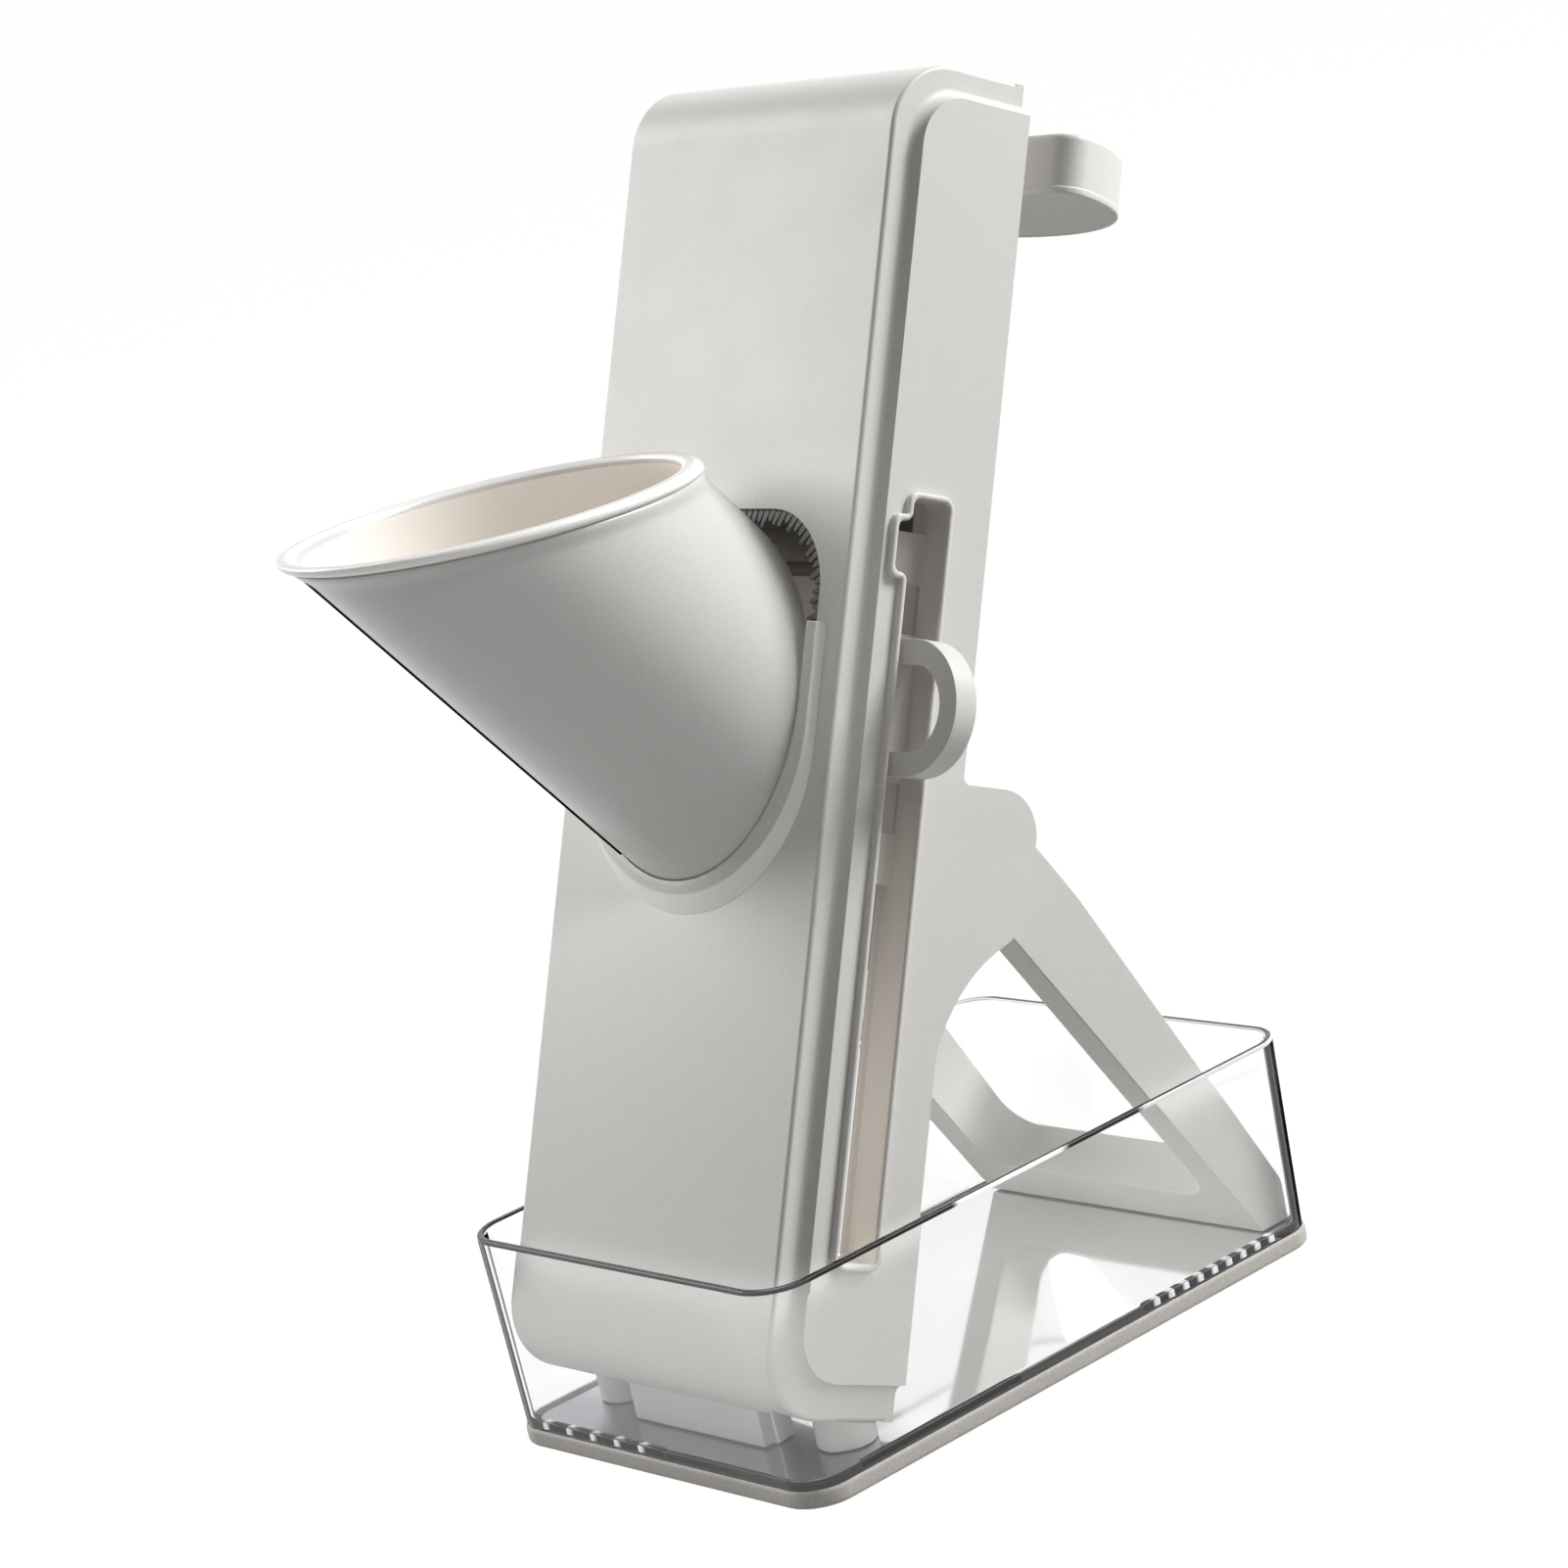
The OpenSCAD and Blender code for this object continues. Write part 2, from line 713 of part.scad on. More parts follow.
// Cuts away what would reach into the body above its underside
module under_body() difference() {
    children();
    at_body() translate([-far, -far, 0]) cube([2 * far, 2 * far, far]);
}

module foot_bar() color(shell_colour) under_body()
    translate([-foot_bar_half, foot_bar_y, floor_top + 2 * rest_gap])
        cube([2 * foot_bar_half, foot_bar_d, body_z]);

module body_foot(side) color(shell_colour) under_body()
    translate([side * foot_x, foot_y, floor_top + rest_gap]) cylinder(h = body_z, r = foot_r);

module cover_screw(side, u) color(steel_colour) at_body() {
    d_cylinder(body_depth - screw_head_h, body_depth, [side * boss_x, u], screw_head_r);
    d_cylinder(body_depth - screw_len, body_depth - screw_head_h / 2, [side * boss_x, u], screw_r);
}

module hinge_pin(side) color(steel_colour) at_body() on_side(side) {
    pin_head_r = pin_r + 1.6;
    pin_head_t = 1.6;
    x_cylinder(lug_in - pin_head_t, lug_in, [pivot_v, pivot_u], pin_head_r);
    x_cylinder(lug_in - pin_head_t / 2, lobe_in + lobe_t / 2, [pivot_v, pivot_u], pin_r);
}

module hinge_washer(side) color(dark_colour) at_body() on_side(side) difference() {
    x_cylinder(lug_out, washer_out, [pivot_v, pivot_u], 2 * pin_r);
    x_cylinder(lug_out - over, washer_out + over, [pivot_v, pivot_u], pin_r + pin_fit);
}

module carriage_frame() color(dark_colour) at_body() difference() {
    front_extrude(carriage_front, carriage_back)
        translate([-carriage_half, carriage_low]) square([2 * carriage_half, carriage_len]);
    front_extrude(carriage_front - over, landing_back)
        translate([-window_half, carriage_low + member_w])
            square([2 * window_half, carriage_len - 2 * member_w]);
    front_extrude(carriage_front, carriage_back + over)
        translate([-window_half + ledge_w, carriage_low + member_w + ledge_w])
            square([2 * (window_half - ledge_w), carriage_len - 2 * (member_w + ledge_w)]);
    for (side = [-1, 1]) {
        blade_screw_hole(side, carriage_front + blade_screw_len);
        x_cylinder(window_half - ledge_w - over, carriage_half - member_w / 2,
            [slot_mid, ring_u + side * handle_screw_spread], screw_head_r + pin_fit);
        x_cylinder(window_half, carriage_half + over,
            [slot_mid, ring_u + side * handle_screw_spread], handle_screw_r + pin_fit);
    }
}

// Hole of a blade screw from the blade's front to the depth given
module blade_screw_hole(side, depth) {
    at = [side * blade_screw_x, ring_u + side * blade_screw_x * tan(blade_slant)];
    d_cylinder(blade_front - over, depth, at, blade_screw_r + pin_fit);
}

module carriage_shoe(side, u) color(dark_colour) at_body() on_side(side)
    side_extrude(carriage_half, carriage_half + shoe_t)
        translate([slot_mid - shoe_half, u]) square([2 * shoe_half, shoe_len]);

module slicing_blade() color(steel_colour) at_body() difference() {
    rise = blade_end * tan(blade_slant);
    front_extrude(blade_front, carriage_front) translate([0, ring_u]) polygon([
        [-blade_end, -rise - blade_h / 2], [blade_end, rise - blade_h / 2],
        [blade_end, rise + blade_h / 2], [-blade_end, -rise + blade_h / 2]
    ]);
    for (side = [-1, 1]) blade_screw_hole(side, carriage_front + over);
}

module blade_screw(side) color(steel_colour) at_body() {
    at = [side * blade_screw_x, ring_u + side * blade_screw_x * tan(blade_slant)];
    d_cylinder(blade_front - blade_head_h, blade_front, at, 2 * blade_screw_r);
    d_cylinder(blade_front - blade_head_h / 2, carriage_front + blade_screw_len, at, blade_screw_r);
}

module comb_blade() color(steel_colour) at_body() {
    comb_half = window_half - over;
    comb_h = member_w - 2 * over;
    pitch = 2 * comb_half / comb_count;
    translate([-comb_half, carriage_front - comb_bar_t, carriage_low + over])
        cube([2 * comb_half, comb_bar_t, comb_h]);
    for (i = [0 : comb_count - 1])
        translate([(i + 0.5) * pitch - comb_half - knife_t / 2, knife_front, carriage_low + over])
            cube([knife_t, knife_h + comb_bar_t, comb_h]);
}

module landing_plate() color(steel_colour) at_body() {
    low = carriage_low + member_w;
    mouth_gap = 2;
    line = ring_u - blade_h / 2 - mouth_gap;
    rise = window_half * tan(blade_slant);
    front_extrude(landing_back - landing_t, landing_back) polygon([
        [-window_half, low], [window_half, low],
        [window_half, line + rise], [-window_half, line - rise]
    ]);
}

module handle_block() color(dark_colour) at_body() difference() {
    side_extrude(carriage_half, block_out)
        translate([slot_front + block_side_gap, ring_u - block_half])
            square([slot_w - 2 * block_side_gap, 2 * block_half]);
    for (side = [-1, 1])
        x_cylinder(carriage_half - over, block_out + over,
            [slot_mid, ring_u + side * handle_screw_spread], handle_screw_r + pin_fit);
}

module handle_screw(side) color(steel_colour) at_body() {
    at = [slot_mid, ring_u + side * handle_screw_spread];
    head_x = carriage_half - member_w / 2;
    x_cylinder(head_x - screw_head_h, head_x, at, screw_head_r);
    x_cylinder(head_x - screw_head_h / 2, head_x + handle_screw_len, at, handle_screw_r);
}

module pull_ring() color(shell_colour) at_body() {
    hole_r = ring_r - ring_bar;
    difference() {
        front_extrude(slot_mid - ring_w / 2, slot_mid + ring_w / 2) translate([0, ring_u]) difference() {
            union() {
                translate([block_out, -ring_r]) square([ring_x - block_out, 2 * ring_r]);
                translate([ring_x, 0]) circle(ring_r);
            }
            translate([block_out - over, -hole_r]) square([ring_x - block_out + over, 2 * hole_r]);
            translate([ring_x, 0]) circle(hole_r);
            translate([block_out - far, -ring_r]) square([far, 2 * ring_r]);
        }
        for (side = [-1, 1])
            x_cylinder(block_out - over, carriage_half - member_w / 2 + handle_screw_len + over,
                [slot_mid, ring_u + side * handle_screw_spread], handle_screw_r + pin_fit);
    }
}

// Side outline of a leg with its foot, in [y, z]
module leg_shape() {
    shoulder_w = leg_len * rear_high_share / 4;
    polygon([
        leg_point(-leg_front, 0), [foot_front_y, foot_z], [foot_rear_y, foot_z],
        [foot_rear_y, heel_z], rear_high, leg_point(leg_back, shoulder_w)
    ]);
    translate(leg_point(0, 0)) circle(hub_r);
    translate(leg_point(leg_back - shoulder_r, shoulder_w)) circle(shoulder_r);
}

// Side outline of the cross bar, which lies within that of the legs
module bar_shape() intersection() {
    leg_shape();
    translate(leg_point(0, bar_w)) rotate(leg_lean) translate([-far, -far]) square([2 * far, far]);
}

// Round inner corner between the right leg and the cross bar
module bar_fillet() intersection() {
    side_extrude(leg_in - bar_fillet_r, leg_in + over) leg_shape();
    translate([leg_in - bar_fillet_r, pivot_y, pivot_z]) rotate([leg_lean, 0, 0])
        translate([0, 0, -bar_w]) difference() {
            translate([0, -far, -over]) cube([bar_fillet_r + over, 2 * far, bar_fillet_r + over]);
            translate([0, far, bar_fillet_r]) rotate([90, 0, 0]) cylinder(h = 2 * far, r = bar_fillet_r);
        }
}

module stand_frame() color(shell_colour) difference() {
    union() {
        side_extrude(-leg_out, leg_out) bar_shape();
        for (side = [-1, 1]) on_side(side) {
            side_extrude(leg_in, leg_out) leg_shape();
            bar_fillet();
        }
    }
    x_cylinder(-leg_out - over, leg_out + over, [pivot_y, pivot_z], pin_r + pin_fit);
    for (side = [-1, 1]) on_side(side) translate([0, 0, -far]) pad_block(far, pin_fit);
}

// Block of a pad's plan, of the height h over its underside
module pad_block(h, grow) {
    margin = 1;
    translate([leg_in + margin - grow, foot_front_y + 2 * margin - grow, floor_top + rest_gap])
        cube([leg_t - 2 * margin + 2 * grow, foot_len - 3 * margin + 2 * grow, h + pad_t]);
}

module stand_pad(side) color(rubber_colour) on_side(side) pad_block(0, 0);

storage_bin();
bin_base_ring();
front_cover();
back_cover();
right_panel();
left_panel();
slot_rim();
chute_bracket();
throat_ring();
feed_funnel();
grab_handle();
guide_rail_right();
guide_rail_left();
discharge_chute();
foot_bar();
body_foot(1);  // body_foot_1
body_foot(-1);  // body_foot_2
cover_screw(1, boss_end);  // cover_screw_1
cover_screw(-1, boss_end);  // cover_screw_2
cover_screw(1, body_len - boss_end);  // cover_screw_3
cover_screw(-1, body_len - boss_end);  // cover_screw_4
hinge_pin(1);  // hinge_pin_right
hinge_pin(-1);  // hinge_pin_left
hinge_washer(1);  // hinge_washer_right
hinge_washer(-1);  // hinge_washer_left
carriage_frame();
carriage_shoe(1, carriage_low);  // carriage_shoe_1
carriage_shoe(-1, carriage_low);  // carriage_shoe_2
carriage_shoe(1, carriage_high - shoe_len);  // carriage_shoe_3
carriage_shoe(-1, carriage_high - shoe_len);  // carriage_shoe_4
slicing_blade();
comb_blade();
landing_plate();
blade_screw(1);  // blade_screw_1
blade_screw(-1);  // blade_screw_2
handle_block();
handle_screw(1);  // handle_screw_1
handle_screw(-1);  // handle_screw_2
pull_ring();
stand_frame();
stand_pad(1);  // stand_pad_right
stand_pad(-1);  // stand_pad_left
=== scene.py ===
import math

import bmesh
import bpy
from mathutils import Matrix, Vector


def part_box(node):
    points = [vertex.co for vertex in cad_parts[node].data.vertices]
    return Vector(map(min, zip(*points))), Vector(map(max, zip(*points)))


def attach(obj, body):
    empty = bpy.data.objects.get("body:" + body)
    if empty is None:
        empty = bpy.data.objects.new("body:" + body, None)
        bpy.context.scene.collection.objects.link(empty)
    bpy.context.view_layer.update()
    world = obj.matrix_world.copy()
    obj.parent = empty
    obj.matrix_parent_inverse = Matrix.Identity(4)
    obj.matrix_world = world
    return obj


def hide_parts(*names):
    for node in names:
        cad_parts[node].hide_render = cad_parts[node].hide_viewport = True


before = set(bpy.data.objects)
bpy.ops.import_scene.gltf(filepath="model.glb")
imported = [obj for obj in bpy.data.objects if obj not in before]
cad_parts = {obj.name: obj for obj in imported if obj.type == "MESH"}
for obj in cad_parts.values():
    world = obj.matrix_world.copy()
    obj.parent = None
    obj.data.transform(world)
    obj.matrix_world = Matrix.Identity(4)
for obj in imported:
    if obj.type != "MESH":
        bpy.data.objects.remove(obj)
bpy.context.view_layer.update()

MM = 0.001

# Sizes repeated from the part's source, in millimetres and degrees
BODY_W = 96
BODY_LEN = 314.4
BODY_DEPTH = 39.5
WALL = 2.4
CORNER_R = 16.7
LEAN = math.radians(23.45)
PANEL_T = 3.2
PANEL_FRONT = 7
STEP_W = 2.3
PANEL_LOW = 9
PANEL_TOP_GAP = 7.4
PANEL_R = 12
LOBE_T = 1.6
SLOT_LOW = 36.5
SLOT_TOP = 213.5
SLOT_FRONT = 14
SLOT_W = 11.3
SLOT_R = 2
NOTCH_LOW = 196
NOTCH_H = 12
NOTCH_D = 4
RIM_W = 1.4
RIM_RISE = 1.8
FUNNEL_R = 39.3
FUNNEL_WALL = 2.2
FUNNEL_TILT = math.radians(28.3)
FUNNEL_U = 163.2
FUNNEL_REACH = 76.4
MOUTH_TILT = math.radians(1.2)
LIP_H = 3.5
FUNNEL_SEAT = 0.3
OPENING_HALF = 38.8
OPENING_TOP = 209
OPENING_R = 19
COLLAR_T = 3
COLLAR_FIT = 0.3
RIDGE_RISE = 3.1
EDGE_RISE = 3.9
EDGE_T = 1
COLLAR_DROP = 6.1
RIDGE_DROP = 3.1
EDGE_DROP = 1.4
ARM_TOP = 182.7
PIVOT_U = 133
PIVOT_BACK = 10.5
LOBE_REACH = 14.8
LOBE_RISE = 16.5
LOBE_DROP = 47.6
CAP_R = 54.5
CAP_REACH = 60
CAP_GAP = 11.5
CAP_CORNER_R = 6
CAP_H = 14.5
CAP_TOP_GAP = 8.9
CAP_NECK_HALF = 27
CAP_NECK_H = 9
BIN_WALL = 1.8
BIN_R = 10
BIN_DRAFT = math.radians(1.8)
BASE_RING_H = 4.4
RING_FLANGE = 2.4
RING_PROUD = 0.6
RING_STRIP = 6
BIN_FLOOR = 2.5
BIN_H = 49.7
HEEL_GAP = 2.9
NOSE_GAP = 1

# Values worked out as in the part's source
HALF_W = BODY_W / 2
SIDE_OUT = HALF_W + PANEL_T
SIDE_IN = HALF_W - WALL
PIVOT_V = BODY_DEPTH + PIVOT_BACK
FLOOR_TOP = RING_FLANGE + BIN_FLOOR
RIM_Z = FLOOR_TOP + BIN_H
SL = math.sin(LEAN)
CL = math.cos(LEAN)
BODY_Z = FLOOR_TOP + HEEL_GAP + BODY_DEPTH * SL
BIN_FRONT = RING_PROUD - RING_STRIP / 2
NOSE_Z = BODY_Z + CORNER_R * (CL - SL)
NOSE_Y = BIN_FRONT + BIN_WALL - (NOSE_Z - BASE_RING_H) * math.tan(BIN_DRAFT) + NOSE_GAP
BODY_Y = NOSE_Y - CORNER_R * (SL + CL - 1)

# The photograph's camera, fitted to the object's edges: place in millimetres, lens on a 36 mm sensor
CAMERA_PLACE = (850.8, -606.1, 409.5)
CAMERA_LENS = 107.4
CAMERA_AZIMUTH = math.radians(51.17)
CAMERA_ELEVATION = math.radians(13.55)
CAMERA_ROLL = math.radians(12.28)


def body_frame():
    """Matrix from the body's own frame (x across, y into its depth, z along its slope) to the object's."""
    place = Matrix.Translation(Vector((0, BODY_Y, BODY_Z)) * MM)
    return place @ Matrix.Rotation(-LEAN, 4, "X") @ Matrix.Scale(MM, 4)


BODY = body_frame()
WORLD = Matrix.Scale(MM, 4)

# Materials

# Scales of the noises, in cells per metre
GRAIN = 2600
SPECKLE = 1700
GRINDING = 900
MOTTLE = 60
STREAK = 45
FLOW = 30
FLOOR_FLOW = 25


def nodes_of(name):
    """New material with its node tree and its main shader."""
    material = bpy.data.materials.new(name)
    material.use_nodes = True
    tree = material.node_tree
    return material, tree, tree.nodes["Principled BSDF"]


def noise(tree, scale, detail=3.0, rough=0.5, stretch=None):
    """Noise over the object's own coordinates, in metres, stretched along an axis if asked."""
    place = tree.nodes.new("ShaderNodeTexCoord")
    texture = tree.nodes.new("ShaderNodeTexNoise")
    texture.inputs["Scale"].default_value = scale
    texture.inputs["Detail"].default_value = detail
    texture.inputs["Roughness"].default_value = rough
    if stretch is None:
        tree.links.new(place.outputs["Object"], texture.inputs["Vector"])
    else:
        mapping = tree.nodes.new("ShaderNodeMapping")
        mapping.inputs["Scale"].default_value = stretch
        tree.links.new(place.outputs["Object"], mapping.inputs["Vector"])
        tree.links.new(mapping.outputs["Vector"], texture.inputs["Vector"])
    return texture.outputs["Fac"]


def spread(tree, value, low, high):
    """Value from 0 to 1 spread over a range."""
    ranger = tree.nodes.new("ShaderNodeMapRange")
    ranger.inputs["From Min"].default_value = 0.3
    ranger.inputs["From Max"].default_value = 0.7
    ranger.inputs["To Min"].default_value = low
    ranger.inputs["To Max"].default_value = high
    tree.links.new(value, ranger.inputs["Value"])
    return ranger.outputs["Result"]


def along(tree, axis, low, high, smooth_ends=False):
    """Value that goes from 0 to 1 between two places on an axis of the object, in millimetres."""
    place = tree.nodes.new("ShaderNodeTexCoord")
    parts = tree.nodes.new("ShaderNodeSeparateXYZ")
    tree.links.new(place.outputs["Object"], parts.inputs["Vector"])
    ranger = tree.nodes.new("ShaderNodeMapRange")
    ranger.inputs["From Min"].default_value = low * MM
    ranger.inputs["From Max"].default_value = high * MM
    if smooth_ends:
        ranger.interpolation_type = "SMOOTHSTEP"
    tree.links.new(parts.outputs[axis], ranger.inputs["Value"])
    return ranger.outputs["Result"]


def unevenly(tree, value, texture, amount):
    """Value with a share of a noise added."""
    uneven = tree.nodes.new("ShaderNodeMath")
    uneven.operation = "MULTIPLY_ADD"
    uneven.inputs[1].default_value = amount
    tree.links.new(texture, uneven.inputs[0])
    tree.links.new(value, uneven.inputs[2])
    return uneven.outputs["Value"]


def tint(tree, value, dark, light, first=0.3, last=0.7):
    """Colour between two colours by a value."""
    ramp = tree.nodes.new("ShaderNodeValToRGB")
    ramp.color_ramp.elements[0].position = max(first, 0)
    ramp.color_ramp.elements[1].position = min(last, 1)
    ramp.color_ramp.elements[0].color = (*dark, 1)
    ramp.color_ramp.elements[1].color = (*light, 1)
    tree.links.new(value, ramp.inputs["Fac"])
    return ramp.outputs["Color"]


def bump(tree, height, strength, distance):
    """Normal from a height."""
    lump = tree.nodes.new("ShaderNodeBump")
    lump.inputs["Strength"].default_value = strength
    lump.inputs["Distance"].default_value = distance
    tree.links.new(height, lump.inputs["Height"])
    return lump.outputs["Normal"]


def moulded(name, dark, light, rough_low, rough_high, grain=0.25, specular=0.4, glow=0.0):
    """Moulded plastic: finely speckled colour, spark grain, uneven gloss, and a faint glow if one is
    given, which is painted light."""
    material, tree, shader = nodes_of(name)
    colour = tint(tree, noise(tree, SPECKLE, 2, 0.7), dark, light)
    tree.links.new(colour, shader.inputs["Base Color"])
    tree.links.new(colour, shader.inputs["Emission Color"])
    shader.inputs["Emission Strength"].default_value = glow
    tree.links.new(spread(tree, noise(tree, MOTTLE, 4), rough_low, rough_high), shader.inputs["Roughness"])
    tree.links.new(bump(tree, noise(tree, GRAIN, 2), grain, 0.00004), shader.inputs["Normal"])
    shader.inputs["Specular IOR Level"].default_value = specular
    return material


def painted_light_by_height(name, low, high, low_z, high_z, glow):
    """Moulded plastic whose colour goes from one at a height to another above, with a glow: painted light
    and shade.
    """
    material = moulded(name, low, high, 0.45, 0.6)
    tree = material.node_tree
    shader = tree.nodes["Principled BSDF"]
    height = unevenly(tree, along(tree, "Z", low_z, high_z, True), noise(tree, SPECKLE, 2, 0.7), 0.12)
    colour = tint(tree, height, low, high, 0.06, 1.06)
    tree.links.new(colour, shader.inputs["Base Color"])
    tree.links.new(colour, shader.inputs["Emission Color"])
    shader.inputs["Emission Strength"].default_value = glow
    return material


def brushed(name, dark, light, stretch):
    """Steel with fine grinding lines."""
    material, tree, shader = nodes_of(name)
    lines = noise(tree, GRINDING, 3, 0.6, stretch)
    tree.links.new(tint(tree, lines, dark, light), shader.inputs["Base Color"])
    tree.links.new(spread(tree, lines, 0.2, 0.36), shader.inputs["Roughness"])
    tree.links.new(bump(tree, lines, 0.2, 0.00002), shader.inputs["Normal"])
    shader.inputs["Metallic"].default_value = 1
    return material


def clear_plastic(name):
    """Polished clear plastic with very faint flow marks."""
    material, tree, shader = nodes_of(name)
    flow = noise(tree, FLOW, 2, 0.4)
    tree.links.new(tint(tree, flow, (0.985, 0.99, 0.99), (1, 1, 1)), shader.inputs["Base Color"])
    tree.links.new(spread(tree, flow, 0.0, 0.02), shader.inputs["Roughness"])
    tree.links.new(bump(tree, flow, 0.05, 0.0001), shader.inputs["Normal"])
    shader.inputs["Transmission Weight"].default_value = 1
    shader.inputs["IOR"].default_value = 1.49
    return material


def mirror_floor(name, first, last):
    """Polished floor of the bin, which mirrors: darker, bluish and duller before a depth, a painted
    reflection of the body's shaded front, and clear and bright behind another.
    """
    material, tree, shader = nodes_of(name)
    depth = unevenly(tree, along(tree, "Y", first, last, True), noise(tree, FLOOR_FLOW, 2, 0.4), 0.06)
    colour = tint(tree, depth, (0.34, 0.345, 0.375), (0.955, 0.955, 0.96), 0.03, 1.0)
    tree.links.new(colour, shader.inputs["Base Color"])
    dull = tree.nodes.new("ShaderNodeMapRange")
    dull.inputs["To Min"].default_value = 0.24
    dull.inputs["To Max"].default_value = 0.06
    tree.links.new(depth, dull.inputs["Value"])
    tree.links.new(dull.outputs["Result"], shader.inputs["Roughness"])
    shader.inputs["Metallic"].default_value = 0.92
    return material


def painted_dark_lines(name):
    """Near-black colour with paler streaks, for painted dark lines: painted refraction where a clear wall
    turns, and painted shade.
    """
    material, tree, shader = nodes_of(name)
    flow = noise(tree, STREAK, 1, 0.4)
    tree.links.new(tint(tree, flow, (0.008, 0.008, 0.009), (0.05, 0.051, 0.055), 0.5, 0.68),
                   shader.inputs["Base Color"])
    tree.links.new(spread(tree, flow, 0.08, 0.16), shader.inputs["Roughness"])
    shader.inputs["Specular IOR Level"].default_value = 0
    return material


def painted_reflection_bands(name, low, high, bands):
    """Rim of a clear wall painted dark and bright by turns along its depth, with a faint glow: painted
    reflection and refraction; bands hold depth and level.
    """
    material, tree, shader = nodes_of(name)
    depth = unevenly(tree, along(tree, "Y", low, high), noise(tree, 2 * STREAK, 2, 0.5), 0.03)
    ramp = tree.nodes.new("ShaderNodeValToRGB")
    stops = ramp.color_ramp.elements
    while len(stops) < len(bands):
        stops.new(0.5)
    for stop, (at, level) in zip(stops, bands):
        stop.position = (at - low) / (high - low)
        stop.color = (level, level, level * 1.02, 1)
    tree.links.new(depth, ramp.inputs["Fac"])
    tree.links.new(ramp.outputs["Color"], shader.inputs["Base Color"])
    tree.links.new(ramp.outputs["Color"], shader.inputs["Emission Color"])
    shader.inputs["Emission Strength"].default_value = 0.3
    tree.links.new(spread(tree, noise(tree, MOTTLE, 2), 0.1, 0.2), shader.inputs["Roughness"])
    shader.inputs["Specular IOR Level"].default_value = 0.1
    return material


SHELL = moulded("shell_plastic", (0.665, 0.652, 0.622), (0.725, 0.712, 0.682), 0.42, 0.47)
STAND = moulded("stand_plastic", (0.665, 0.652, 0.622), (0.725, 0.712, 0.682), 0.5, 0.55,
                specular=0.08)
# Darker, rougher grey for the cap's underside: painted shade
UNDERSIDE_PAINTED_SHADE = moulded("underside_painted_shade", (0.560, 0.548, 0.522), (0.620, 0.608, 0.582), 0.6, 0.7, specular=0.0)
INSET = moulded("collar_inset", (0.665, 0.652, 0.622), (0.725, 0.712, 0.682), 0.45, 0.5,
                specular=0.2)
# Bracket's outer faces, brighter than the shell and glowing: painted light
COLLAR_PAINTED_LIGHT = moulded("collar_painted_light", (0.700, 0.687, 0.657), (0.760, 0.747, 0.717), 0.42, 0.47,
                 glow=0.12)
FUNNEL = moulded("funnel_plastic", (0.635, 0.621, 0.598), (0.695, 0.681, 0.657), 0.28, 0.31, 0.12, 0.7)
# Lip bead, brighter than the funnel and glowing: painted highlight
LIP_PAINTED_HIGHLIGHT = moulded("lip_painted_highlight", (0.800, 0.790, 0.765), (0.860, 0.850, 0.825), 0.28, 0.31, 0.12, 0.7, 0.1)
# Inside of the funnel, lighter than its outside and glowing: painted light
FUNNEL_INSIDE_PAINTED_LIGHT = moulded("funnel_inside_painted_light", (0.790, 0.745, 0.695), (0.850, 0.805, 0.755), 0.45, 0.5, glow=0.13)
# Slot walls, guides, rails, shoes and the carriage's right side: pale and glowing low down, dark up high,
# as painted light and shade
SLOT_PAINTED_LIGHT = painted_light_by_height("slot_painted_light", (0.60, 0.56, 0.51), (0.24, 0.225, 0.205), 75, 165, 0.36)
CARRIAGE = moulded("carriage_plastic", (0.055, 0.052, 0.048), (0.085, 0.081, 0.076), 0.4, 0.55)
TEETH = moulded("tooth_plastic", (0.13, 0.125, 0.12), (0.30, 0.29, 0.28), 0.4, 0.6, 0.6)
DARK = moulded("dark_plastic", (0.012, 0.011, 0.011), (0.022, 0.021, 0.020), 0.4, 0.55)
# Grey ring; its faint glow is painted light
RING = moulded("ring_plastic", (0.440, 0.418, 0.388), (0.580, 0.555, 0.520), 0.55, 0.75, 0.6, glow=0.04)
RUBBER = moulded("pad_rubber", (0.020, 0.020, 0.020), (0.035, 0.034, 0.033), 0.7, 0.85, 0.6, 0.25)
STEEL = brushed("steel", (0.42, 0.43, 0.44), (0.62, 0.63, 0.64), (1, 0.05, 0.05))
CLEAR = clear_plastic("clear_plastic")
# Bin floor: its darker front is painted reflection
MIRROR = mirror_floor("clear_floor", 12, 40)
# Painted refraction lines on the bin, painted shade between its ribs and along the funnel
PAINTED_DARK_LINE = painted_dark_lines("painted_dark_line")
# Ribs painted pale and glowing: painted highlights
RIB_PAINTED_HIGHLIGHT = moulded("rib_painted_highlight", (0.70, 0.70, 0.71), (0.90, 0.90, 0.91), 0.1, 0.2, 0.1, 0.5, 0.2)
# The rim's dark and bright bands are painted reflection and refraction
RIM_PAINTED_REFLECTION = painted_reflection_bands("rim_painted_reflection", -10, 150, [
    (2, 0.12), (12, 0.02), (56, 0.02), (58, 0.85), (93, 0.85), (95, 0.02), (119, 0.02), (122, 0.65)
])

# Mesh tools

ARC_STEPS = 8


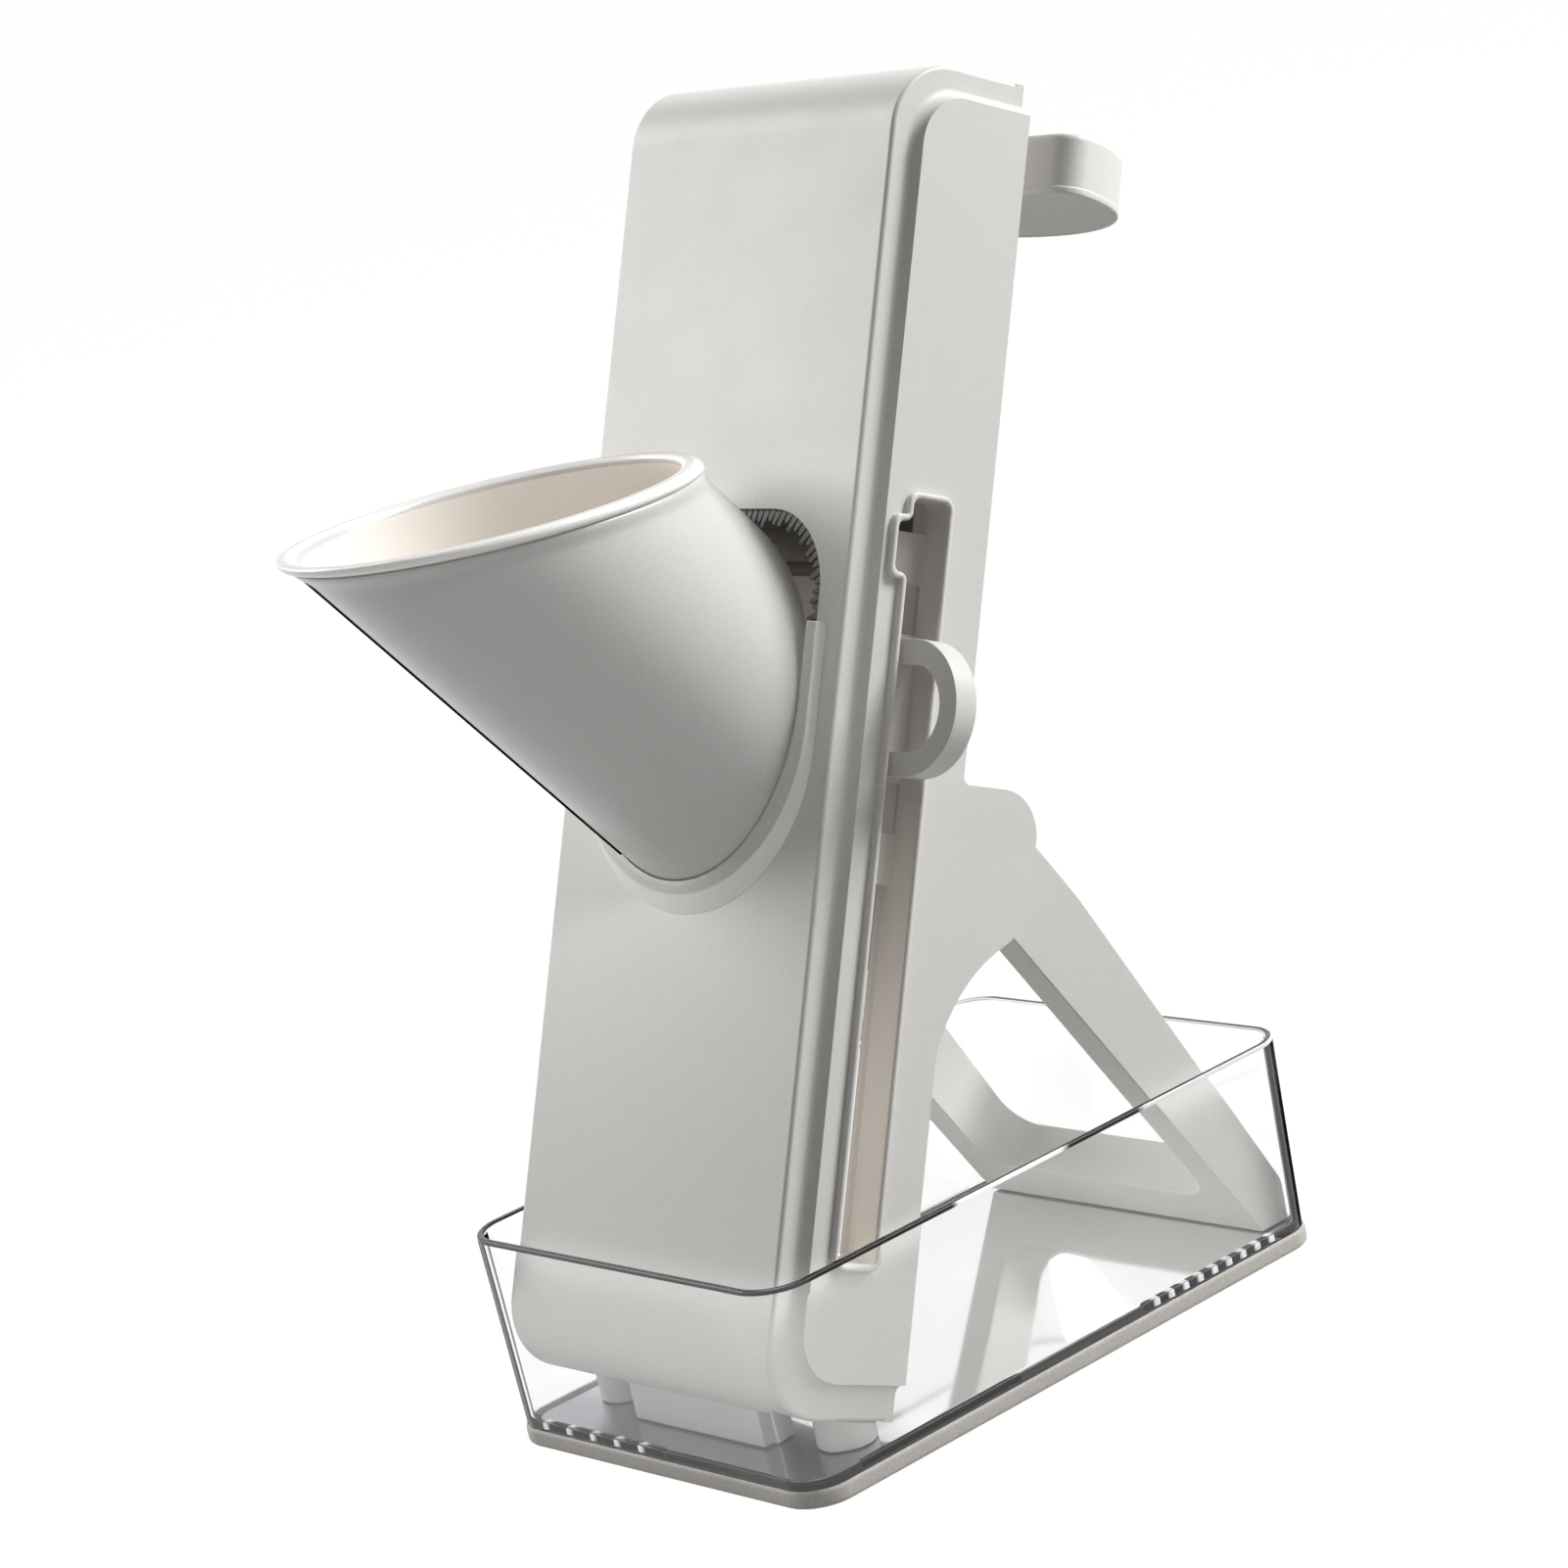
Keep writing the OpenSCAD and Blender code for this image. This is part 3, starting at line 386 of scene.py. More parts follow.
def rounded(points, radii, steps=ARC_STEPS):
    """Closed outline whose corners are round; the same count of points whatever the radii."""
    out = []
    for i, (point, radius) in enumerate(zip(points, radii)):
        p = Vector(point)
        back = Vector(points[i - 1]) - p
        ahead = Vector(points[(i + 1) % len(points)]) - p
        room = 0.49 * min(back.length, ahead.length)
        back.normalize()
        ahead.normalize()
        half = back.angle(ahead) / 2
        cut = min(max(radius, 0.02) / math.tan(half), room)
        r = cut * math.tan(half)
        centre = p + (back + ahead).normalized() * (r / math.sin(half))
        first = p + back * cut - centre
        last = p + ahead * cut - centre
        start = math.atan2(first.y, first.x)
        sweep = (math.atan2(last.y, last.x) - start + math.pi) % (2 * math.pi) - math.pi
        for k in range(steps + 1):
            angle = start + sweep * k / steps
            out.append(centre + Vector((math.cos(angle), math.sin(angle))) * r)
    return out


def grown(points, amount):
    """Counter-clockwise outline with every edge moved outward."""
    out = []
    for i, point in enumerate(points):
        p = Vector(point)
        before = (p - Vector(points[i - 1])).normalized()
        after = (Vector(points[(i + 1) % len(points)]) - p).normalized()
        n1 = Vector((before.y, -before.x))
        n2 = Vector((after.y, -after.x))
        out.append(p + (n1 + n2) * (amount / (1 + n1.dot(n2))))
    return out


def arc_between(p, q, bulge, steps):
    """Arc from p to q that bulges to the left by a share of the chord."""
    p, q = Vector(p), Vector(q)
    chord = (q - p).length
    rise = chord * abs(bulge)
    turn = 1 if bulge > 0 else -1
    r = (chord * chord / 4 + rise * rise) / (2 * rise)
    along = (q - p) / chord
    left = Vector((-along.y, along.x)) * turn
    centre = (p + q) / 2 + left * (rise - r)
    start = math.atan2(p.y - centre.y, p.x - centre.x)
    sweep = -2 * turn * math.asin(chord / 2 / r)
    angles = [start + sweep * k / steps for k in range(steps + 1)]
    return [centre + Vector((math.cos(a), math.sin(a))) * r for a in angles]


def build(name, verts, faces, place):
    """Object from points in millimetres, moved by a frame's matrix, with its normals outward."""
    mesh = bpy.data.meshes.new(name)
    mesh.from_pydata([place @ Vector(v) for v in verts], [], faces)
    work = bmesh.new()
    work.from_mesh(mesh)
    bmesh.ops.remove_doubles(work, verts=work.verts, dist=0.000002)
    bmesh.ops.recalc_face_normals(work, faces=work.faces)
    work.to_mesh(mesh)
    work.free()
    obj = bpy.data.objects.new(name, mesh)
    bpy.context.scene.collection.objects.link(obj)
    return obj


def loft(rings, start_cap=True, end_cap=True, looped=False):
    """Points and faces of a skin over closed rings with equal counts."""
    count = len(rings[0])
    verts = [tuple(p) for ring in rings for p in ring]
    faces = []
    pairs = [(i, i + 1) for i in range(len(rings) - 1)]
    if looped:
        pairs.append((len(rings) - 1, 0))
    for i, j in pairs:
        for k in range(count):
            m = (k + 1) % count
            faces.append((i * count + k, i * count + m, j * count + m, j * count + k))
    if start_cap and not looped:
        faces.append(tuple(reversed(range(count))))
    if end_cap and not looped:
        faces.append(tuple(range((len(rings) - 1) * count, len(rings) * count)))
    return verts, faces


def strip(rows):
    """Points and faces of a skin over open rows with equal counts, the rows making a closed section."""
    count = len(rows[0])
    verts = [tuple(p) for row in rows for p in row]
    faces = []
    for i in range(len(rows)):
        j = (i + 1) % len(rows)
        for k in range(count - 1):
            faces.append((i * count + k, i * count + k + 1, j * count + k + 1, j * count + k))
    faces.append(tuple(i * count for i in range(len(rows))))
    faces.append(tuple(i * count + count - 1 for i in reversed(range(len(rows)))))
    return verts, faces


def side_prism(name, outline, x0, x1, place=BODY):
    """Solid from an outline in [depth, length] drawn out across the body."""
    return build(name, *loft([[(x, p[0], p[1]) for p in outline] for x in (x0, x1)]), place)


def front_prism(name, outline, d0, d1, place=BODY):
    """Solid from an outline in [x, length] drawn out into the body."""
    return build(name, *loft([[(p[0], d, p[1]) for p in outline] for d in (d0, d1)]), place)


def bake(obj):
    """Gives the object the mesh that its modifiers make."""
    graph = bpy.context.evaluated_depsgraph_get()
    mesh = bpy.data.meshes.new_from_object(obj.evaluated_get(graph))
    obj.modifiers.clear()
    obj.data = mesh
    return obj


def combine(obj, other, operation):
    """Boolean of two solids; the second one is used up."""
    modifier = obj.modifiers.new("combine", "BOOLEAN")
    modifier.operation = operation
    modifier.solver = "EXACT"
    modifier.object = other
    bake(obj)
    bpy.data.objects.remove(other)
    return obj


def soft_edges(obj, width, segments=3, limit=32):
    """Rounds the sharp edges, and shades flat faces flat and round ones round."""
    work = bmesh.new()
    work.from_mesh(obj.data)
    bmesh.ops.remove_doubles(work, verts=work.verts, dist=0.000003)
    bmesh.ops.dissolve_limit(
        work, angle_limit=math.radians(0.5), verts=work.verts, edges=work.edges
    )
    work.to_mesh(obj.data)
    work.free()
    bevel = obj.modifiers.new("soft edges", "BEVEL")
    bevel.width = width * MM
    bevel.segments = segments
    bevel.limit_method = "ANGLE"
    bevel.angle_limit = math.radians(limit)
    bevel.miter_outer = "MITER_ARC"
    bake(obj)
    return smooth(obj)


def smooth(obj, limit=40):
    """Smooth shading up to an angle, weighted by the size of the faces."""
    obj.data.shade_smooth()
    obj.data.set_sharp_from_angle(angle=math.radians(limit))
    weight = obj.modifiers.new("weighted normals", "WEIGHTED_NORMAL")
    weight.keep_sharp = True
    return bake(obj)


def finish_piece(obj, material, body, slot, *replaced):
    """Gives a piece its material, its body and the nodes that it stands for."""
    obj.data.materials.clear()
    obj.data.materials.append(material)
    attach(obj, body)
    if replaced:
        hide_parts(*replaced)
    return obj


def finer(node, material, body, slot, width, segments=3):
    """Copy of a node's solid with rounded edges, which replaces it."""
    obj = bpy.data.objects.new(node + "_fine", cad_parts[node].data.copy())
    obj.data.transform(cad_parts[node].matrix_world)
    bpy.context.scene.collection.objects.link(obj)
    soft_edges(obj, width, segments)
    return finish_piece(obj, material, body, slot, node)


CARRIAGE_SIDE = 30


def pale_side(carriage):
    """Gives the carriage's right side, seen through the slot, the painted light and shade of the slot's
    walls.
    """
    carriage.data.materials.append(SLOT_PAINTED_LIGHT)
    for face in carriage.data.polygons:
        if face.center.x > CARRIAGE_SIDE * MM and face.normal.x > 0.5:
            face.material_index = 1


# Shell of the body

SHELL_EDGE = 1.1


def shell_outline(inset):
    """Outline of the shell in [depth, length], drawn in on the front, top and bottom."""
    back = BODY_DEPTH - WALL
    r = CORNER_R - inset
    corners = [(inset, inset), (back, inset), (back, BODY_LEN - inset), (inset, BODY_LEN - inset)]
    return rounded(corners, [r, 0, 0, r], 14)


def opening_outline(grow=0.0):
    """Outline of the feed opening in [x, length]: an arch below, a rounded square above."""
    half = OPENING_HALF + grow
    arch = OPENING_TOP - OPENING_HALF - OPENING_R / 2
    bottom = [(half * math.cos(a), arch + half * math.sin(a))
              for a in (math.pi + math.pi * k / 40 for k in range(41))]
    top = rounded(
        [(half, arch), (half, OPENING_TOP + grow), (-half, OPENING_TOP + grow), (-half, arch)],
        [0, OPENING_R + grow, OPENING_R + grow, 0], 10
    )
    return [Vector(p) for p in bottom] + top[11:33]


def slot_outline(grow):
    """Outline of the side slot with its notch, in [depth, length]."""
    back = SLOT_FRONT + SLOT_W
    notch = SLOT_FRONT - NOTCH_D
    notch_top = NOTCH_LOW + NOTCH_H
    corners = [
        (SLOT_FRONT, SLOT_LOW), (back, SLOT_LOW), (back, SLOT_TOP), (SLOT_FRONT, SLOT_TOP),
        (SLOT_FRONT, notch_top), (notch, notch_top), (notch, NOTCH_LOW), (SLOT_FRONT, NOTCH_LOW)
    ]
    out = SLOT_R + grow
    inward = max(SLOT_R - grow, 0.3)
    return rounded(grown(corners, grow), [out, out, out, out, inward, out, out, inward], 6)


def make_shell():
    """Front shell: rounded edges, feed opening and slot."""
    turns = [math.pi / 2 * k / 5 for k in range(6)]
    edge = [(HALF_W - SHELL_EDGE * (1 - math.sin(a)), SHELL_EDGE * (1 - math.cos(a))) for a in turns]
    steps = [(-x, inset) for x, inset in reversed(edge)] + edge
    rings = [[(x, p.x, p.y) for p in shell_outline(inset)] for x, inset in steps]
    shell = build("body_shell", *loft(rings), BODY)
    back = BODY_DEPTH + WALL
    r = CORNER_R - WALL
    cavity = rounded(
        [(WALL, WALL), (back, WALL), (back, BODY_LEN - WALL), (WALL, BODY_LEN - WALL)], [r, 0, 0, r], 10
    )
    combine(shell, side_prism("cavity", cavity, -SIDE_IN, SIDE_IN), "DIFFERENCE")
    combine(shell, front_prism("opening", opening_outline(), -WALL, 2 * WALL), "DIFFERENCE")
    combine(shell, side_prism("slot_cut", slot_outline(0), SIDE_IN - WALL, HALF_W + WALL), "DIFFERENCE")
    smooth(shell, 30)
    return finish_piece(shell, SHELL, "housing", "shell_plastic", "front_cover")


# Guides inside the body that lead the slices to the opening at the back
GUIDE_FRONT = 30.5
GUIDE_X = 34.4
GUIDE_T = 1.2


def panel_outline(grow):
    """Outline of a side panel, grown at the front, top and bottom."""
    low, high = PANEL_LOW - grow, BODY_LEN - PANEL_TOP_GAP + grow
    front = PANEL_FRONT - grow
    r = PANEL_R + grow / 2
    return rounded([(front, low), (BODY_DEPTH, low), (BODY_DEPTH, high), (front, high)], [r, 0, 0, r], 12)


def lobe_outline():
    """Outline of the lobe behind the panel, in [depth, length]."""
    rear = PIVOT_V + LOBE_REACH
    top = PIVOT_U + LOBE_RISE
    low_end = (BODY_DEPTH, PIVOT_U - LOBE_DROP)
    heel = (PIVOT_V + LOBE_REACH * 0.5, PIVOT_U - LOBE_DROP * 0.43)
    rear_foot = (rear, PIVOT_U - LOBE_DROP * 0.19)
    rear_head = (rear, PIVOT_U + LOBE_RISE * 0.36)
    top_end = (PIVOT_V + LOBE_REACH * 0.18, top)
    fillet = 2 * LOBE_T
    points = [Vector((BODY_DEPTH - LOBE_T, low_end[1]))]
    points += arc_between(low_end, heel, 0.105, 14)
    points += arc_between(heel, rear_foot, -0.117, 8)
    points += arc_between(rear_head, top_end, -0.205, 14)
    points += arc_between((BODY_DEPTH + fillet, top), (BODY_DEPTH, top + fillet / 2), 0.205, 5)
    points.append(Vector((BODY_DEPTH - LOBE_T, top + fillet / 2)))
    return points


def make_panel(name, side, node):
    """Side panel with its hollow sloping step and the lobe over the hinge."""
    steps = 7
    rings = []
    for k in range(steps + 1):
        turn = math.pi / 2 * k / steps
        x = HALF_W + PANEL_T * (1 - math.cos(turn))
        rings.append([(x, p.x, p.y) for p in panel_outline(STEP_W * (1 - math.sin(turn)))])
    mirror = BODY @ Matrix.Scale(side, 4, Vector((1, 0, 0)))
    panel = build(name, *loft(rings), mirror)
    lobe = side_prism("lobe", lobe_outline(), SIDE_OUT - LOBE_T, SIDE_OUT, mirror)
    combine(panel, lobe, "UNION")
    if side > 0:
        cut = side_prism("slot_cut", slot_outline(RIM_W - 0.1), HALF_W - WALL, SIDE_OUT + WALL)
        combine(panel, cut, "DIFFERENCE")
    soft_edges(panel, 0.45, 3, 50)
    return finish_piece(panel, SHELL, "housing", "shell_plastic", node)


def slot_sleeve(name, section, material, slot, *replaced):
    """Closed sleeve along the slot from its section in [x, growth of the slot's outline]."""
    rings = [[(x, p.x, p.y) for p in slot_outline(grow)] for x, grow in section]
    sleeve = build(name, *loft(rings, False, False, True), BODY)
    smooth(sleeve, 50)
    return finish_piece(sleeve, material, "housing", slot, *replaced)


def make_slot():
    """Round bead along the slot, the walls behind it, and two guides inside the body; the walls and guides
    carry the slot's painted light and shade.
    """
    top = SIDE_OUT + RIM_RISE
    bead = [(SIDE_OUT - 1.2, RIM_W), (top - 0.55, RIM_W), (top - 0.2, RIM_W - 0.12),
            (top - 0.02, RIM_W - 0.4), (top, RIM_W / 2), (top - 0.02, 0.4), (top - 0.2, 0.12),
            (top - 0.55, 0), (HALF_W, 0)]
    slot_sleeve("slot_bead", bead, SHELL, "shell_plastic", "slot_rim")
    skin, depth = 0.15, 0.5
    walls = [(top - 0.8, 0.02), (top - 0.8, -skin), (SIDE_IN - depth, -skin), (SIDE_IN - depth, 0.02)]
    slot_sleeve("slot_walls", walls, SLOT_PAINTED_LIGHT, "dark_plastic")
    for side in (1, -1):
        outline = rounded([(GUIDE_FRONT, SLOT_LOW - 8), (BODY_DEPTH - WALL, SLOT_LOW - 8),
                           (BODY_DEPTH - WALL, SLOT_TOP + 8), (GUIDE_FRONT, SLOT_TOP + 8)], [2] * 4)
        mirror = BODY @ Matrix.Scale(side, 4, Vector((1, 0, 0)))
        guide = side_prism("slice_guide_right" if side > 0 else "slice_guide_left",
                           outline, GUIDE_X, GUIDE_X + GUIDE_T, mirror)
        soft_edges(guide, 0.3)
        finish_piece(guide, SLOT_PAINTED_LIGHT, "housing", "dark_plastic")


# Funnel and its bracket

AXIS_TURN = math.pi / 2 - FUNNEL_TILT
MOUTH_TURN = AXIS_TURN - LEAN + MOUTH_TILT
# Turn and foot of the painted shade line along the funnel's lower left outline
SHADE_LINE_TURN = 248.6
SHADE_LINE_FOOT = -11.2
TOOTH_PITCH = 2.1
TOOTH_REACH = 4.6
TOOTH_FRONT = 0.7


def funnel_point(angle, radius, along):
    """Point of the funnel at an angle round its axis and a distance along it, in the body's frame."""
    x, y = radius * math.cos(angle), radius * math.sin(angle)
    depth = y * math.cos(AXIS_TURN) - along * math.sin(AXIS_TURN)
    return (x, depth, FUNNEL_U + y * math.sin(AXIS_TURN) + along * math.cos(AXIS_TURN))


def make_opening_teeth():
    """Short grey teeth along the inner edge of the feed opening, before a dark throat."""
    outer = opening_outline(-0.05)
    centre = Vector((0, OPENING_TOP - OPENING_HALF))
    lengths = [(outer[i] - outer[i - 1]).length for i in range(len(outer))]
    total = sum(lengths)
    count = round(total / TOOTH_PITCH)
    verts, faces = [], []
    place, i, gone = total / count / 2, 0, 0
    for tooth in range(count):
        target = place + total / count * tooth
        while gone + lengths[(i + 1) % len(outer)] < target:
            gone += lengths[(i + 1) % len(outer)]
            i += 1
        a, b = outer[i % len(outer)], outer[(i + 1) % len(outer)]
        point = a + (b - a) * ((target - gone) / lengths[(i + 1) % len(outer)])
        inward = (centre - point).normalized()
        side = Vector((-inward.y, inward.x))
        reach = TOOTH_REACH * (0.8 + 0.2 * math.sin(tooth * 2.4))
        foot, tip = TOOTH_PITCH * 0.4, TOOTH_PITCH * 0.22
        shape = [point - side * foot, point + side * foot,
                 point + inward * reach + side * tip, point + inward * reach - side * tip]
        rings = [[(q.x, d, q.y) for q in rounded(shape, [0.1, 0.1, 0.35, 0.35], 3)]
                 for d in (TOOTH_FRONT, TOOTH_FRONT + 1.2)]
        some, shapes = loft(rings)
        faces += [tuple(k + len(verts) for k in face) for face in shapes]
        verts += some
    teeth = build("opening_teeth", verts, faces, BODY)
    smooth(teeth, 40)
    return finish_piece(teeth, TEETH, "housing", "dark_plastic")


def make_funnel():
    """Round slanted funnel with a rolled lip that runs level round its mouth, over a soft flare."""
    count = 128
    wall = FUNNEL_WALL
    top_rows = [(-wall, 26), (-wall, 9), (-wall, 2.6), (-wall + 0.1, 1.2), (-wall + 0.45, 0.15),
                (-1.15, -0.45), (-0.4, -0.8), (0.35, -0.9), (1.15, -0.72), (1.8, -0.25), (2.1, 0.4),
                (2.05, 1.05), (1.7, 1.55), (1.15, 1.85), (0.7, 2.0), (0.6, 2.2), (0.9, 2.45), (1.0, 2.9),
                (0.88, LIP_H), (0.6, 4.3), (0.3, 5.1), (0.1, 5.9), (0, 6.8), (0, 9), (0, 26)]
    rings = []
    for dr, drop in top_rows:
        ring = []
        for k in range(count):
            angle = 2 * math.pi * k / count
            y = (FUNNEL_R + dr) * math.sin(angle)
            along = FUNNEL_REACH - y * math.tan(MOUTH_TURN) - drop / math.cos(MOUTH_TURN)
            foot = (y * math.cos(AXIS_TURN) + FUNNEL_SEAT) / math.sin(AXIS_TURN)
            ring.append(funnel_point(angle, FUNNEL_R + dr, max(along, foot + 0.5)))
        rings.append(ring)
    for dr in (0, -wall):
        ring = []
        for k in range(count):
            angle = 2 * math.pi * k / count
            y = (FUNNEL_R + dr) * math.sin(angle)
            foot = (y * math.cos(AXIS_TURN) + FUNNEL_SEAT) / math.sin(AXIS_TURN)
            ring.append(funnel_point(angle, FUNNEL_R + dr, foot))
        rings.append(ring)
    funnel = build("funnel", *loft(rings, False, False, True), BODY)
    smooth(funnel, 50)
    finish_piece(funnel, FUNNEL, "funnel", "shell_plastic", "feed_funnel")
    funnel.data.materials.append(FUNNEL_INSIDE_PAINTED_LIGHT)
    funnel.data.materials.append(LIP_PAINTED_HIGHLIGHT)
    # Inside faces get the funnel's painted light, faces of the lip bead its painted highlight
    back = BODY.inverted()
    for face in funnel.data.polygons:
        x, depth, u = back @ face.center
        y = (u - FUNNEL_U) * math.sin(AXIS_TURN) + depth * math.cos(AXIS_TURN)
        away = math.hypot(x, y) - FUNNEL_R
        if away < 0.25 - wall:
            face.material_index = 1
        elif away > -1.9 and (away > 1.05 or away < -0.05):
            face.material_index = 2
    return funnel


def make_shade_line():
    """Thin dark strip along the funnel's lower left outline, from its lip to the bracket: painted shade.
    """
    rings = []
    for turn, rise in ((-0.55, -0.2), (-0.55, 0.4), (0, 0.55), (0.55, 0.4), (0.55, -0.2)):
        angle = math.radians(SHADE_LINE_TURN + turn)
        y = FUNNEL_R * math.sin(angle)
        top = FUNNEL_REACH - y * math.tan(MOUTH_TURN) - LIP_H - 2
        places = [top + (SHADE_LINE_FOOT - top) * k / 12 for k in range(13)]
        rings.append([funnel_point(angle, FUNNEL_R + rise, along_axis) for along_axis in places])
    shade_line = build("funnel_painted_shade_line", *strip(rings), BODY)
    smooth(shade_line, 40)
    return finish_piece(shade_line, PAINTED_DARK_LINE, "funnel", "shell_plastic")


def u_row(half, bottom, depth):
    """Row of points along the bracket's U, from the right arm's top to the left arm's."""
    centre = bottom + half
    arms = [ARM_TOP + (centre - ARM_TOP) * k / 6 for k in range(6)]
    row = [(half, depth, u) for u in arms]
    row += [(half * math.cos(a), depth, centre - half * math.sin(a))
            for a in (math.pi * k / 48 for k in range(49))]
    row += [(-half, depth, u) for u in reversed(arms)]
    return row


def bore_row(rise):
    """Row of points along the bracket's inner face, which follows the funnel."""
    r = FUNNEL_R + COLLAR_FIT
    centre = FUNNEL_U + rise * math.tan(FUNNEL_TILT)
    tall = r / math.cos(FUNNEL_TILT)
    arms = [ARM_TOP + (centre - ARM_TOP) * k / 6 for k in range(6)]
    row = [(r, -rise, u) for u in arms]
    row += [(r * math.cos(a), -rise, centre - tall * math.sin(a))
            for a in (math.pi * k / 48 for k in range(49))]
    row += [(-r, -rise, u) for u in reversed(arms)]
    return row


def make_bracket():
    """U-shaped bracket, flared from the front face to a ridge and drawn in to the funnel."""
    bore = FUNNEL_R + COLLAR_FIT
    foot = FUNNEL_U - FUNNEL_R / math.cos(FUNNEL_TILT)
    climb = math.tan(FUNNEL_TILT)
    foot_half = bore + COLLAR_T
    edge_half = bore + EDGE_T
    ridge_half = foot_half - RIDGE_RISE / EDGE_RISE * EDGE_T / 2
    rows = [
        u_row(foot_half, foot - COLLAR_DROP, -0.01),
        u_row(ridge_half, foot + RIDGE_RISE * climb - RIDGE_DROP, -RIDGE_RISE),
        u_row(edge_half, foot + EDGE_RISE * climb - EDGE_DROP, -EDGE_RISE),
        bore_row(EDGE_RISE),
        bore_row(0.01),
    ]
    bracket = build("funnel_bracket", *strip(rows), BODY)
    soft_edges(bracket, 0.3, 3, 20)
    finish_piece(bracket, SHELL, "housing", "shell_plastic", "chute_bracket")
    bracket.data.materials.append(COLLAR_PAINTED_LIGHT)
    bracket.data.materials.append(INSET)
    # Outer faces take the collar's painted light, the inner band the inset finish
    back = BODY.inverted()
    for face in bracket.data.polygons:
        x, depth, u = back @ face.center
        if depth < 0.1 - RIDGE_RISE:
            face.material_index = 2
        elif math.hypot(x, (u - FUNNEL_U) * math.cos(FUNNEL_TILT)) > bore + 0.8:
            face.material_index = 1
    return bracket


# Hand cap

def cap_outline(inset):
    """Half moon with round corners in [x, depth], drawn in on all sides."""
    centre = BODY_DEPTH + CAP_REACH - CAP_R
    up = BODY_DEPTH + CAP_GAP + CAP_CORNER_R - centre
    across = math.sqrt((CAP_R - CAP_CORNER_R) ** 2 - up ** 2)
    turn = math.atan2(up, across)
    quarter, small, large = math.pi / 2, CAP_CORNER_R - inset, CAP_R - inset
    points = []
    for k in range(11):
        angle = -quarter + (turn + quarter) * k / 10
        points.append((across + small * math.cos(angle), centre + up + small * math.sin(angle)))
    for k in range(1, 80):
        angle = turn + (math.pi - 2 * turn) * k / 80
        points.append((large * math.cos(angle), centre + large * math.sin(angle)))
    for k in range(11):
        angle = math.pi - turn + (turn + quarter) * k / 10
        points.append((-across + small * math.cos(angle), centre + up + small * math.sin(angle)))
    return points


def make_cap():
    """Half-moon cap on a neck, with a thin bead round its lower edge and a flat underside, painted darker
    as shade.
    """
    base = BODY_LEN - CAP_TOP_GAP - CAP_H
    wall = 0.3
    section = [(1.3, 0.45), (1.1, 0.4), (0.95, 0.05), (0.6, 0), (0.2, 0.15), (0, 0.5), (0, 1.5),
               (0.1, 1.75), (wall, 1.9), (wall, 2.6), (wall, CAP_H - 1.5), (wall + 0.1, CAP_H - 0.8),
               (wall + 0.4, CAP_H - 0.3), (wall + 0.9, CAP_H - 0.05), (wall + 1.3, CAP_H),
               (wall + 2.3, CAP_H)]
    rings = [[(x, v, base + up) for x, v in cap_outline(inset)] for inset, up in section]
    cap = build("hand_cap", *loft(rings), BODY)
    low = base + (CAP_H - CAP_NECK_H) / 2
    front, rear = BODY_DEPTH, BODY_DEPTH + CAP_GAP + 2
    high = low + CAP_NECK_H
    neck = rounded([(front, low), (rear, low), (rear, high), (front, high)], [0] * 4, 1)
    combine(cap, side_prism("neck", neck, -CAP_NECK_HALF, CAP_NECK_HALF), "UNION")
    smooth(cap, 50)
    finish_piece(cap, SHELL, "housing", "shell_plastic", "grab_handle")
    cap.data.materials.append(UNDERSIDE_PAINTED_SHADE)
    # Faces that look down get the painted shade
    down = -BODY.to_3x3().normalized().col[2]
    for face in cap.data.polygons:
        if face.normal.dot(down) > 0.7:
            face.material_index = 1
    return cap


# Bin

def bin_sizes():
    """Half width and rear face of the bin's foot, in millimetres."""
    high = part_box("bin_base_ring")[1]
    return high.x / MM - RING_PROUD, high.y / MM - RING_PROUD


BIN_HALF, BIN_REAR = bin_sizes()


def bin_ring(grow, z, steps=12, r=None):
    """Ring of points round the bin's plan, grown on all sides, at a height."""
    corners = [(-BIN_HALF - grow, BIN_FRONT - grow), (BIN_HALF + grow, BIN_FRONT - grow),
               (BIN_HALF + grow, BIN_REAR + grow), (-BIN_HALF - grow, BIN_REAR + grow)]
    radius = max(BIN_R + grow if r is None else r, 1.5)
    return [(p.x, p.y, z) for p in rounded(corners, [radius] * 4, steps)]


def draft(z):
    """Growth of the bin's plan at a height."""
    return (z - BASE_RING_H) * math.tan(BIN_DRAFT)


RIM_SECTION = ((0, 1.1), (0, 0.6), (0.08, 0.3), (0.3, 0.08), (0.6, 0), (1.2, 0), (1.5, 0.08), (1.72, 0.3),
               (1.8, 0.6), (1.8, 1.1))
# Depths under the rim's top where its painted bands of reflection begin and end: on all faces, on the
# outer face alone
RIM_LINE_TOP = 0.06
RIM_LINE_LOW = 0.55
RIM_OUTER_LOW = 0.95
# Turns of the painted dark refraction lines upright at the rear right and front left, in degrees: outer
# face, inner face
UPRIGHT_LINES = ((22, 46), (30, 58)), ((216, 250), (212, 252))


